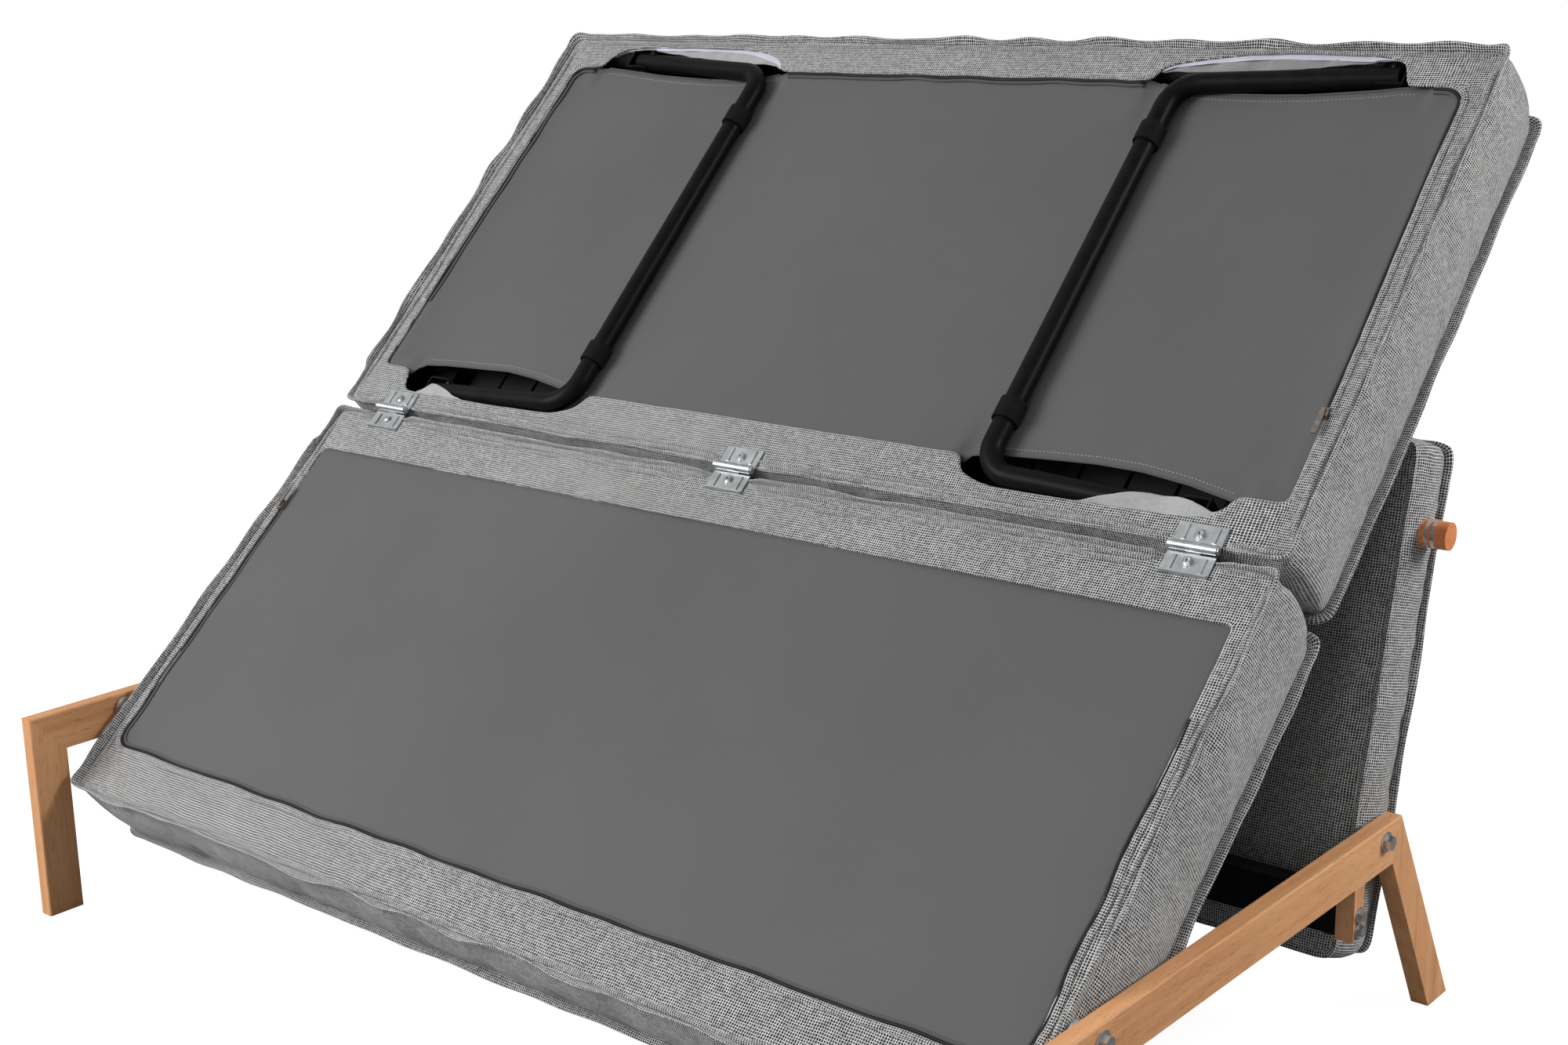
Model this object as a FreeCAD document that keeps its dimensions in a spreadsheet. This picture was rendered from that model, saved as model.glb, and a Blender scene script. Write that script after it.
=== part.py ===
import FreeCAD, Part
import math
import os
import Sketcher

# Fold-out futon sofa bed with a wooden side frame.
# Three upholstered panels make the bed: a backrest on two rail bolts, a lower
# seat panel on two rail bolts, and an upper seat panel hinged to the lower one
# by three butt hinges.  The model stands part way through the conversion: the
# seat pair is raised and leans on the backrest with its undersides forward.
# +X is across the width, +Y to the rear, +Z up; millimetres.

V = FreeCAD.Vector
Rot = FreeCAD.Rotation
Pl = FreeCAD.Placement

doc = FreeCAD.newDocument("futon_sofa_bed")
sheet = doc.addObject("Spreadsheet::Sheet", "dims")

DIMS = [
    # whole piece
    ("width_half", 728.0), ("board", 20.0), ("y_middle", 518.4),
    # side frame
    ("rail_top", 257.0), ("rail_depth", 48.0), ("rail_length", 719.0),
    ("front_leg_width", 46.0), ("rear_foot_reach", 145.5), ("rear_foot_width", 49.6),
    ("rear_knee_back", 19.0), ("edge_round", 2.5),
    ("block_front", 613.0), ("block_width", 21.4), ("block_drop", 59.0),
    # stop bar
    ("bar_height", 46.0), ("bar_depth", 25.0), ("bar_low", 154.0), ("bar_wall", 1.5),
    ("bar_plate", 3.0), ("bar_bolt_upper", 178.5), ("bar_bolt_lower", 161.5), ("bar_bolt_back", 11.0),
    ("bar_bolt_radius", 4.0), ("bar_washer_radius", 8.5), ("bar_head_across", 6.5),
    # pivots on the rails
    ("pivot_height", 240.0), ("seat_pivot_y", 130.2), ("back_pivot_y", 680.0),
    ("pivot_radius", 5.0), ("pivot_clear", 0.06), ("pivot_washer", 11.0), ("pivot_head", 8.0),
    # panels
    ("half_width", 695.0), ("panel_thick", 116.0), ("cover_wall", 2.0),
    ("seat_tilt", 41.6), ("upper_tilt", 44.6), ("back_tilt", 75.0),
    ("seat_pivot_u", 126.6), ("lower_start", 10.0), ("lower_end", 615.0),
    ("hinge_u", 623.7), ("hinge_n", 6.0), ("upper_start", 5.0), ("upper_end", 654.0),
    ("lining_half", 672.0), ("lining_low", 76.0), ("lining_high", 551.0),
    ("upper_lining_low", 68.0), ("upper_lining_high", 596.0), ("lining_thick", 1.5),
    ("tube", 25.0), ("tube_wall", 1.5), ("frame_skin", 4.0),
    ("frame_half", 680.0), ("frame_inner", 571.0), ("upper_sink", 31.5), ("upper_mouth", 658.0),
    ("foam_top", 37.0), ("soft_round", 30.0), ("under_round", 8.0),
    # backrest
    ("back_length", 560.0), ("back_thick", 92.0), ("back_pivot_u", 140.0), ("back_pivot_n", 7.0),
    ("knob_u", 462.0), ("knob_n", 40.2), ("knob_radius", 15.0), ("ring_radius", 15.8),
    # hinges
    ("hinge_spacing", 595.0), ("hinge_width", 54.0), ("leaf_reach", 29.0), ("leaf_thick", 2.0),
    ("knuckle_radius", 5.0), ("pin_radius", 2.5),
    # fold-out legs
    ("leg_pivot_x", 549.0), ("leg_pivot_n", 16.5), ("leg_arm", 244.7), ("leg_slope", 4.57),
    ("leg_low", 48.0), ("leg_high", 593.7), ("leg_splay", 7.5), ("leg_shift", 12.0), ("leg_radius", 12.5), ("leg_wall", 1.5),
    ("leg_bend", 38.0), ("leg_pin", 4.0),
]
D = {}


class Q:
    """A size: its number and the sheet expression that gives it."""

    def __init__(self, value, text):
        self.v, self.t = float(value), text

    def _mix(self, other, sign, back=False):
        if not isinstance(other, Q):
            other = Q(other, repr(float(other)))
        a, b = (other, self) if back else (self, other)
        value = {"+": a.v + b.v, "-": a.v - b.v, "*": a.v * b.v, "/": a.v / b.v if b.v else 0.0}[sign]
        return Q(value, "(%s %s %s)" % (a.t, sign, b.t))

    def __add__(self, o): return self._mix(o, "+")
    def __radd__(self, o): return self._mix(o, "+", True)
    def __sub__(self, o): return self._mix(o, "-")
    def __rsub__(self, o): return self._mix(o, "-", True)
    def __mul__(self, o): return self._mix(o, "*")
    def __rmul__(self, o): return self._mix(o, "*", True)
    def __truediv__(self, o): return self._mix(o, "/")
    def __neg__(self): return self._mix(0.0, "-", True)


for row, (alias, number) in enumerate(DIMS, start=1):
    sheet.set("A%d" % row, alias)
    sheet.set("B%d" % row, repr(number))
    sheet.setAlias("B%d" % row, alias)
    D[alias] = Q(number, "dims." + alias)
doc.recompute()


class Names:
    def __getattr__(self, key):
        return D[key]


d = Names()


def q(value):
    return value if isinstance(value, Q) else Q(value, repr(float(value)))


def cosq(angle):
    return Q(math.cos(math.radians(angle.v)), "cos(%s * 1 deg)" % angle.t)


def sinq(angle):
    return Q(math.sin(math.radians(angle.v)), "sin(%s * 1 deg)" % angle.t)


def bind(obj, prop, value):
    value = q(value)
    if "dims." in value.t:
        obj.setExpression(prop, value.t)
    return value.v


def put(obj, x=0, y=0, z=0, axis=None, angle=0):
    """Place an object, with its position and angle bound to the sheet."""
    obj.Placement = Pl(V(q(x).v, q(y).v, q(z).v),
                       Rot(axis, q(angle).v) if axis is not None else Rot())
    bind(obj, "Placement.Base.x", x)
    bind(obj, "Placement.Base.y", y)
    bind(obj, "Placement.Base.z", z)
    if axis is not None:
        bind(obj, "Placement.Rotation.Angle", angle)
    return obj


def box(name, x0, x1, y0, y1, z0, z1):
    b = doc.addObject("Part::Box", name)
    for prop, a, c in (("Length", x0, x1), ("Width", y0, y1), ("Height", z0, z1)):
        setattr(b, prop, (q(c) - q(a)).v)
        bind(b, prop, q(c) - q(a))
    return put(b, x0, y0, z0)


AXIS = {"z": (None, 0), "x": (V(0, 1, 0), 90), "y": (V(1, 0, 0), -90)}


def cyl(name, along, x, y, z, radius, length):
    """A cylinder from (x, y, z) along +x, +y or +z."""
    c = doc.addObject("Part::Cylinder", name)
    c.Radius = q(radius).v
    c.Height = q(length).v
    bind(c, "Radius", radius)
    bind(c, "Height", length)
    axis, angle = AXIS[along]
    c.Placement = Pl(V(q(x).v, q(y).v, q(z).v), Rot(axis, angle) if axis else Rot())
    bind(c, "Placement.Base.x", x)
    bind(c, "Placement.Base.y", y)
    bind(c, "Placement.Base.z", z)
    return c


def hexhead(name, along, x, y, z, radius, length):
    p = doc.addObject("Part::Prism", name)
    p.Polygon = 6
    p.Circumradius = q(radius).v
    p.Height = q(length).v
    bind(p, "Circumradius", radius)
    bind(p, "Height", length)
    axis, angle = AXIS[along]
    p.Placement = Pl(V(q(x).v, q(y).v, q(z).v), Rot(axis, angle) if axis else Rot())
    bind(p, "Placement.Base.x", x)
    bind(p, "Placement.Base.y", y)
    bind(p, "Placement.Base.z", z)
    return p


def buttonhead(name, x, y, z):
    """A washer and a low rounded screw head with a six-sided socket, standing on (x, y, z) along +z."""
    cone = doc.addObject("Part::Cone", name + "_crown")
    cone.Radius1, cone.Radius2, cone.Height = 5.5, 3.6, 1.4
    top = q(z) + 1.8
    cone.Placement = Pl(V(q(x).v, q(y).v, top.v), Rot())
    bind(cone, "Placement.Base.x", x)
    bind(cone, "Placement.Base.y", y)
    bind(cone, "Placement.Base.z", top)
    solid = fuse(name + "_solid", [cyl(name + "_washer", "z", x, y, z, 7.2, 0.6),
                                   cyl(name + "_skirt", "z", x, y, q(z) + 0.5, 5.5, 1.3), cone])
    return cut(name, solid, [hexhead(name + "_socket", "z", x, y, q(z) + 1.5, 2.1, 3.0)])


def cut(name, base, tools):
    if len(tools) > 1:
        f = doc.addObject("Part::Compound", name + "_cutters")
        f.Links = tools
    else:
        f = tools[0]
    c = doc.addObject("Part::Cut", name)
    c.Base, c.Tool = base, f
    return c


def fuse(name, parts):
    f = doc.addObject("Part::MultiFuse", name)
    f.Shapes = parts
    return f


def group(name, parts):
    g = doc.addObject("Part::Compound", name)
    g.Links = parts
    return g


PLANES = {"XY": "XY_Plane", "XZ": "XZ_Plane", "YZ": "YZ_Plane"}


def sketch(body, name, plane, loops, circles=(), offset=None):
    """A sketch of closed polygons and circles, each corner tied to the origin by sizes from the sheet."""
    s = body.newObject("Sketcher::SketchObject", name)
    base = [o for o in body.Origin.OriginFeatures if o.Role == PLANES[plane]][0]
    s.AttachmentSupport = [(base, "")]
    s.MapMode = "FlatFace"
    if offset is not None:
        s.AttachmentOffset = offset
    k = 0
    for points in loops:
        n = len(points)
        first = k
        for i in range(n):
            a, b = points[i], points[(i + 1) % n]
            s.addGeometry(Part.LineSegment(V(q(a[0]).v, q(a[1]).v, 0), V(q(b[0]).v, q(b[1]).v, 0)), False)
        for i in range(n):
            s.addConstraint(Sketcher.Constraint("Coincident", first + i, 2, first + (i + 1) % n, 1))
        for i, (px, py) in enumerate(points):
            for kind, value in (("DistanceX", q(px)), ("DistanceY", q(py))):
                label = "%s_%d" % (kind[-1].lower(), first + i)
                s.addConstraint(Sketcher.Constraint(kind, -1, 1, first + i, 1, value.v))
                s.renameConstraint(s.ConstraintCount - 1, label)
                if "dims." in value.t:
                    s.setExpression("Constraints." + label, value.t)
        k += n
    for px, py, radius in circles:
        px, py, radius = q(px), q(py), q(radius)
        s.addGeometry(Part.Circle(V(px.v, py.v, 0), V(0, 0, 1), radius.v), False)
        for kind, value in (("DistanceX", px), ("DistanceY", py)):
            label = "c%s_%d" % (kind[-1].lower(), k)
            s.addConstraint(Sketcher.Constraint(kind, -1, 1, k, 3, value.v))
            s.renameConstraint(s.ConstraintCount - 1, label)
            if "dims." in value.t:
                s.setExpression("Constraints." + label, value.t)
        label = "radius_%d" % k
        s.addConstraint(Sketcher.Constraint("Radius", k, radius.v))
        s.renameConstraint(s.ConstraintCount - 1, label)
        if "dims." in radius.t:
            s.setExpression("Constraints." + label, radius.t)
        k += 1
    return s


def pad(body, name, profile, length, both=False, reverse=False):
    p = body.newObject("PartDesign::Pad", name)
    p.Profile = profile
    p.Length = q(length).v
    bind(p, "Length", length)
    p.Midplane = both
    p.Reversed = reverse
    profile.Visibility = False
    return p


def rounded(body, name, base, radius, wanted):
    """Fillet the edges of the body's last feature that wanted(edge) picks."""
    doc.recompute()
    names = ["Edge%d" % (i + 1) for i, e in enumerate(base.Shape.Edges) if wanted(e)]
    f = body.newObject("PartDesign::Fillet", name)
    f.Base = (base, names)
    f.Radius = q(radius).v
    bind(f, "Radius", radius)
    return f


def along(edge, direction, tol=1e-3):
    a, b = edge.Vertexes[0].Point, edge.Vertexes[-1].Point
    v = b.sub(a)
    return v.Length > 1 and v.normalize().cross(direction).Length < tol


nodes = []


def node(label, obj):
    obj.Label = label
    nodes.append(obj)
    return obj


# ---------------------------------------------------------------- side frames
# Solid boards 20 mm thick, mitred at both knees: a vertical front leg, a rail
# and a rear leg that splays to the rear.
sides = (("left", -d.width_half), ("right", d.width_half - d.board))
rail_low = d.rail_top - d.rail_depth


def board(label, points, x, holes=(), grain=None):
    b = doc.addObject("PartDesign::Body", label + "_body")
    s = sketch(b, label + "_outline", "YZ", [points], holes)
    p = pad(b, label + "_pad", s, d.board)
    f = rounded(b, label + "_eased", p, d.edge_round, grain)
    doc.recompute()
    b.Tip = f
    put(b, x, -d.y_middle, 0)
    return node(label, b)


for side, x in sides:
    board(side + "_front_leg",
          [(0, 0), (d.front_leg_width, 0), (d.front_leg_width, rail_low), (0, d.rail_top)],
          x, (), lambda e: along(e, V(0, 0, 1)) and abs(e.Vertexes[0].Point.y) < 1e-3)
    board(side + "_rail",
          [(0, d.rail_top), (d.front_leg_width, rail_low),
           (d.rail_length - d.rear_knee_back, rail_low), (d.rail_length, d.rail_top)],
          x, [(d.seat_pivot_y, d.pivot_height, d.pivot_radius + 0.2),
              (d.back_pivot_y, d.pivot_height, d.pivot_radius + 0.2)],
          lambda e: along(e, V(0, 1, 0)) and e.Vertexes[0].Point.z > 250)
    board(side + "_rear_leg",
          [(d.rail_length - d.rear_knee_back, rail_low), (d.rail_length, d.rail_top),
           (d.rail_length + d.rear_foot_reach, 0),
           (d.rail_length + d.rear_foot_reach - d.rear_foot_width, 0)],
          x, (), lambda e: along(e, V(0, 145.5, -257.0).normalize()))
    # hanging block that carries the stop bar
    board(side + "_stop_block",
          [(d.block_front, rail_low - d.block_drop), (d.block_front + d.block_width, rail_low - d.block_drop),
           (d.block_front + d.block_width, rail_low), (d.block_front, rail_low)],
          x, [(d.block_front + d.bar_bolt_back, d.bar_bolt_upper, d.bar_bolt_radius + 0.2),
              (d.block_front + d.bar_bolt_back, d.bar_bolt_lower, d.bar_bolt_radius + 0.2)],
          lambda e: along(e, V(0, 1, 0)) and e.Vertexes[0].Point.z < 160)

# ------------------------------------------------------------------- stop bar
# A rectangular steel tube between the two blocks.  The backrest's lower edge
# bears on it when someone leans back.
inner = d.width_half - d.board
bar_half = inner - d.bar_plate
body = doc.addObject("PartDesign::Body", "stop_bar_body")
bh, bl, bf, bt = d.bar_height, d.bar_low, d.block_front, d.bar_wall
s = sketch(body, "stop_bar_section", "YZ",
           [[(bf, bl), (bf + d.bar_depth, bl), (bf + d.bar_depth, bl + bh), (bf, bl + bh)],
            [(bf + bt, bl + bt), (bf + d.bar_depth - bt, bl + bt),
             (bf + d.bar_depth - bt, bl + bh - bt), (bf + bt, bl + bh - bt)]])
p = pad(body, "stop_bar_pad", s, 2 * bar_half, both=True)
doc.recompute()
body.Tip = p
node("stop_bar", put(body, 0, -d.y_middle, 0))

plates, bolts, washers = [], [], []
for side, sign in (("left", -1), ("right", 1)):
    a, b = (bar_half, inner) if sign > 0 else (-inner, -bar_half)
    plate = box(side + "_bar_plate_blank", a, b, bf - d.y_middle, bf + d.bar_depth - d.y_middle, bl, bl + bh)
    holes = []
    for tag, z in (("upper", d.bar_bolt_upper), ("lower", d.bar_bolt_lower)):
        yb = bf + d.bar_bolt_back - d.y_middle
        holes.append(cyl("%s_%s_plate_hole" % (side, tag), "x", a - 1, yb, z, d.bar_bolt_radius, d.bar_plate + 2))
        # bolt: shank from inside the plate to the block's face, washer, hexagon head
        out = d.width_half
        shank_len = d.board + d.bar_plate
        x_shank = bar_half if sign > 0 else -out
        shank = cyl("%s_%s_bar_shank" % (side, tag), "x", x_shank, yb, z, d.bar_bolt_radius, shank_len)
        x_washer = out if sign > 0 else -out - 1.6
        ring = cyl("%s_%s_bar_washer_disc" % (side, tag), "x", x_washer, yb, z, d.bar_washer_radius, 1.6)
        bore = cyl("%s_%s_bar_washer_bore" % (side, tag), "x", x_washer - 1, yb, z, d.bar_bolt_radius, 3.6)
        washers.append(cut("%s_%s_bar_washer" % (side, tag), ring, [bore]))
        x_neck = out if sign > 0 else -out - 1.6
        neck = cyl("%s_%s_bar_neck" % (side, tag), "x", x_neck, yb, z, d.bar_bolt_radius, 1.6)
        x_head = out + 1.6 if sign > 0 else -out - 1.6 - 4.8
        head = hexhead("%s_%s_bar_head" % (side, tag), "x", x_head, yb, z, d.bar_head_across, 4.8)
        bolts.append(fuse("%s_%s_bar_bolt" % (side, tag), [shank, neck, head]))
    plates.append(cut(side + "_bar_plate", plate, holes))
node("stop_bar_end_plates", group("bar_plates_group", plates))
node("stop_bar_bolts", group("bar_bolts_group", bolts))
node("stop_bar_washers", group("bar_washers_group", washers))

# --------------------------------------------------------------- pivot bolts
# Four bolts through the rails carry the backrest and the lower seat panel.
plate_in, plate_out = 701.0, 705.0
spacers, pivot_washers, nuts = [], [], []
for tag, y in (("front", d.seat_pivot_y), ("rear", d.back_pivot_y)):
    parts = []
    for side, sign in (("left", -1), ("right", 1)):
        yy = y - d.y_middle
        z = d.pivot_height
        nm = "%s_%s_" % (side, tag)
        tip = 696.4
        out = d.width_half
        x0 = tip if sign > 0 else -out - 2.0
        shank = cyl(nm + "pivot_shank", "x", x0, yy, z, d.pivot_radius, out - tip + 2.0)
        xh = out + 2.0 if sign > 0 else -out - 2.0 - 6.4
        head = hexhead(nm + "pivot_hexagon", "x", xh, yy, z, d.pivot_head, 6.4)
        parts.append(fuse(nm + "pivot_bolt", [shank, head]))
        xw = out if sign > 0 else -out - 2.0
        disc = cyl(nm + "pivot_washer_disc", "x", xw, yy, z, d.pivot_washer, 2.0)
        bore = cyl(nm + "pivot_washer_bore", "x", xw - 1, yy, z, d.pivot_radius, 4.0)
        pivot_washers.append(cut(nm + "pivot_washer", disc, [bore]))
        xs = 705.3 if sign > 0 else -d.width_half + d.board
        width = d.width_half - d.board - 705.3
        disc = cyl(nm + "spacer_disc", "x", xs, yy, z, 10.0, width)
        bore = cyl(nm + "spacer_bore", "x", xs - 1, yy, z, d.pivot_radius, width + 2)
        spacers.append(cut(nm + "spacer", disc, [bore]))
        xn = 697.0 if sign > 0 else -700.7
        disc = hexhead(nm + "nut_hexagon", "x", xn, yy, z, 8.6, 3.7)
        bore = cyl(nm + "nut_bore", "x", xn - 1, yy, z, d.pivot_radius, 5.7)
        nuts.append(cut(nm + "nut", disc, [bore]))
    node(tag + "_pivot_bolts", group(tag + "_bolts_group", parts))
node("pivot_washers", group("pivot_washers_group", pivot_washers))
node("pivot_spacers", group("spacers_group", spacers))
node("pivot_nuts", group("nuts_group", nuts))


# --------------------------------------------------------------------- panels
# A panel is built flat in its own axes: X across, Y along the panel, Z out of
# its underside.  Then it is turned about X and put in place.
def soft_block(name, half, y0, y1, z0, z1, top, under):
    """A block with its long edges rounded: `top` on the sleeping side, `under` on the other."""
    b = doc.addObject("PartDesign::Body", name)
    s = sketch(b, name + "_section", "YZ", [[(y0, z0), (y1, z0), (y1, z1), (y0, z1)]])
    p = pad(b, name + "_pad", s, 2 * q(half), both=True)
    low, high = q(z0).v, q(z1).v
    f = rounded(b, name + "_top_edges", p, top,
                lambda e: along(e, V(1, 0, 0)) and abs(e.Vertexes[0].Point.z - low) < 1e-3)
    g = rounded(b, name + "_under_edges", f, under,
                lambda e: along(e, V(1, 0, 0)) and abs(e.Vertexes[0].Point.z - high) < 1e-3)
    doc.recompute()
    b.Tip = g
    return b


def ladder(name, half, y0, y1, rungs, z0, z1, size):
    """A closed frame of tube of one size, with lengthwise members at x = rungs."""
    b = doc.addObject("PartDesign::Body", name)
    edges = [(-half, -half + size)] + [(r - size / 2, r + size / 2) for r in rungs] + [(half - size, half)]
    loops = [[(-half, y0), (half, y0), (half, y1), (-half, y1)]]
    for (a0, a1), (b0, b1) in zip(edges, edges[1:]):
        loops.append([(a1, y0 + size), (b0, y0 + size), (b0, y1 - size), (a1, y1 - size)])
    s = sketch(b, name + "_plan", "XY", loops, offset=Pl(V(0, 0, q(z0).v), Rot()))
    s.setExpression("AttachmentOffset.Base.z", q(z0).t)
    p = pad(b, name + "_pad", s, q(z1) - q(z0))
    doc.recompute()
    b.Tip = p
    return b


def tube_frame(label, half, y0, y1, rungs, z_high):
    """Welded square-tube frame: the outer form less the hollow inside the tubes."""
    w = d.tube_wall
    z_high = q(z_high)
    rungs = [q(r) for r in rungs]
    outer = ladder(label + "_outside", q(half), q(y0), q(y1), rungs, z_high - d.tube, z_high, d.tube)
    hollow = ladder(label + "_hollow", q(half) - w, q(y0) + w, q(y1) - w, rungs,
                    z_high - d.tube + w, z_high - w, d.tube - 2 * w)
    return cut(label + "_tubes", outer, [hollow])


def straps(label, half, step, y0, y1, z0, z1):
    """Webbing straps across the frame, evenly spaced, as one group."""
    out = []
    n = int(2 * half // step)
    for i in range(n):
        x = -half + step * (i + 0.5)
        out.append(box("%s_strap_%d" % (label, i), x - 27.5, x + 27.5, y0, y1, z0, z1))
    return group(label + "_straps", out)


def pivot_plates(label, u, n, face, mid):
    """Steel ears outside the panel's sides: a round end on the rail bolt, a tongue down to the frame and two studs into it."""
    out = []
    u, n = q(u), q(n)
    for side, sign in (("left", -1), ("right", 1)):
        a = plate_in if sign > 0 else -plate_out
        nm = "%s_%s_ear_" % (label, side)
        disc = cyl(nm + "disc", "x", a, u, n, 13.0, plate_out - plate_in)
        tongue = box(nm + "tongue", a, a + plate_out - plate_in, u - 13, u + 13, q(mid) - 10, n)
        xs = d.frame_half if sign > 0 else -plate_in
        studs = [cyl(nm + "stud_%d" % k, "x", xs, u + k * 8, mid, 3.5, plate_in - d.frame_half) for k in (-1, 1)]
        whole = fuse(nm + "solid", [disc, tongue] + studs)
        bore = cyl(nm + "bore", "x", a - 1, u, n, d.pivot_radius + d.pivot_clear, plate_out - plate_in + 2)
        out.append(cut(nm + "piece", whole, [bore]))
    return group(label + "_ears", out)


def stud_holes(label, u, mid):
    """Clearance holes for the ears' studs through the two sides of a cover."""
    out = []
    for side, x in (("left", -d.half_width - 2), ("right", d.frame_half)):
        for k in (-1, 1):
            out.append(cyl("%s_%s_stud_hole_%d" % (label, side, k), "x", x, u + k * 8, mid, 4.0,
                           d.half_width - d.frame_half + 2))
    return out


Xaxis = V(1, 0, 0)
w = d.cover_wall
mid_n = -(d.frame_skin + d.tube / 2)

# ---- lower seat panel: its free edge is at u = 0, the hinges are beyond u = 615
lower_y = d.seat_pivot_y - d.y_middle
cs, sn = cosq(d.seat_tilt), sinq(d.seat_tilt)
lower_base = (0, lower_y - d.seat_pivot_u * cs, d.pivot_height - d.seat_pivot_u * sn)


def in_lower(label, obj):
    return node(label, put(obj, *lower_base, axis=Xaxis, angle=d.seat_tilt))


outer = soft_block("lower_cover_outside", d.half_width, d.lower_start, d.lower_end, -d.panel_thick, 0,
                   d.soft_round, d.under_round)
cavity = soft_block("lower_cover_cavity", d.half_width - w, d.lower_start + w, d.lower_end - w,
                    -d.panel_thick + w, -w, d.soft_round - w, d.under_round - w)
mouth = box("lower_cover_mouth", -d.lining_half, d.lining_half, d.lining_low, d.lining_high, -w - 1, 1)
screw_u = d.hinge_u - 15
holes = [cyl("lower_cover_screw_hole_%d" % k, "z", k * d.hinge_spacing, screw_u, -w - 8, 3.2, 11) for k in (-1, 0, 1)]
in_lower("lower_panel_cover", cut("lower_cover", outer,
         [cavity, mouth] + holes + stud_holes("lower", d.seat_pivot_u, mid_n)))
in_lower("lower_panel_lining", group("lower_lining_group", [box("lower_lining", -d.lining_half + 0.3,
         d.lining_half - 0.3, d.lining_low + 0.3, d.lining_high - 0.3, -d.lining_thick, 0)]))
in_lower("lower_panel_foam", soft_block("lower_foam", d.half_width - w - 1, d.lower_start + w + 1,
         d.lower_end - w - 1, -d.panel_thick + w + 1, -d.foam_top, d.soft_round - w, 2))
in_lower("lower_panel_frame", tube_frame("lower_frame", d.frame_half, d.lower_start + 6, d.lower_end - 5,
         [-d.frame_half / 3, d.frame_half / 3], -d.frame_skin))
in_lower("lower_panel_webbing", straps("lower", 630, 60.0, d.lower_start + 8, d.lower_end - 5,
         -d.frame_skin - d.tube - 2.5, -d.frame_skin - d.tube))
in_lower("lower_pivot_ears", pivot_plates("lower", d.seat_pivot_u, 0, None, mid_n))

# ---- upper seat panel: v = 0 is the hinge line
ch, sh = cosq(d.upper_tilt), sinq(d.upper_tilt)
hinge_y = lower_base[1] + d.hinge_u * cs - d.hinge_n * sn
hinge_z = lower_base[2] + d.hinge_u * sn + d.hinge_n * cs
upper_base = (0, hinge_y + d.hinge_n * sh, hinge_z - d.hinge_n * ch)


def in_upper(label, obj):
    return node(label, put(obj, *upper_base, axis=Xaxis, angle=d.upper_tilt))


outer = soft_block("upper_cover_outside", d.half_width, d.upper_start, d.upper_end, -d.panel_thick, 0,
                   d.soft_round, d.under_round / 2)
cavity = soft_block("upper_cover_cavity", d.half_width - w, d.upper_start + w, d.upper_end - w,
                    -d.panel_thick + w, -w, d.soft_round - w, d.under_round / 2 - w)
mouth = box("upper_cover_mouth", -d.upper_mouth, d.upper_mouth, d.upper_lining_low, d.upper_lining_high, -w - 1, 1)
slots = []
for side, x0, x1 in (("left", -612.0, -285.0), ("right", 285.0, 612.0)):
    slots.append(box("upper_%s_low_slot" % side, x0, x1, d.leg_low - 18, d.upper_lining_low + 4, -w - 1, 1))
    slots.append(box("upper_%s_high_slot" % side, x0, x1, d.upper_lining_high - 10, d.upper_end - 11, -w - 1, 1))
screw_v = q(17.0)
holes = [cyl("upper_cover_screw_hole_%d" % k, "z", k * d.hinge_spacing, screw_v, -w - 1, 3.2, 4) for k in (-1, 0, 1)]
in_upper("upper_panel_cover", cut("upper_cover", outer, [cavity, mouth] + slots + holes))
sheet_blank = box("upper_lining_blank", -d.lining_half + 0.3, d.lining_half - 0.3,
                  d.upper_lining_low + 0.3, d.upper_lining_high - 0.3, -15.0, -15.0 + d.lining_thick)
notches = [box("upper_lining_%s_notch" % side, x0, x1, d.upper_lining_high - 10, d.upper_lining_high + 4, -17, -12)
           for side, x0, x1 in (("left", -612.0, -285.0), ("right", 285.0, 612.0))]
in_upper("upper_panel_lining", cut("upper_lining", sheet_blank, notches))
in_upper("upper_panel_foam", soft_block("upper_foam", d.half_width - w - 1, d.upper_start + w + 1,
         d.upper_end - w - 1, -d.panel_thick + w + 1, -d.foam_top - d.upper_sink, d.soft_round - w, 2))
upper_skin = d.frame_skin + d.upper_sink
# The frame lies under the folded legs; three welded blocks reach up from it to carry the hinges.
pads = [cut("hinge_pad_%d_piece" % (k + 2), box("hinge_pad_%d" % (k + 2), k * d.hinge_spacing - 20,
        k * d.hinge_spacing + 20, 8.0, 30.0, -upper_skin - 0.5, -d.frame_skin + 0.5),
        [cyl("hinge_pad_%d_hole" % (k + 2), "z", k * d.hinge_spacing, screw_v, -upper_skin + 1, 3.1, upper_skin)])
        for k in (-1, 0, 1)]
in_upper("upper_panel_frame", fuse("upper_frame_whole", [tube_frame("upper_frame", d.frame_half, d.upper_start + 2.3,
         d.upper_end - 20, [-d.frame_inner - d.tube / 2, 0, d.frame_inner + d.leg_shift + d.tube / 2],
         -upper_skin)] + pads))
in_upper("upper_panel_webbing", straps("upper", 630, 60.0, d.upper_start + 6, d.upper_end - 22,
         -upper_skin - d.tube - 2.5, -upper_skin - d.tube))

# ---- backrest: u = 0 is its lower end, the front face is at n = 0
cb, sb = cosq(d.back_tilt), sinq(d.back_tilt)
back_base = (0, d.back_pivot_y - d.y_middle - d.back_pivot_u * cb - d.back_pivot_n * sb,
             d.pivot_height - d.back_pivot_u * sb + d.back_pivot_n * cb)


def in_back(label, obj):
    return node(label, put(obj, *back_base, axis=Xaxis, angle=d.back_tilt))


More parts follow.
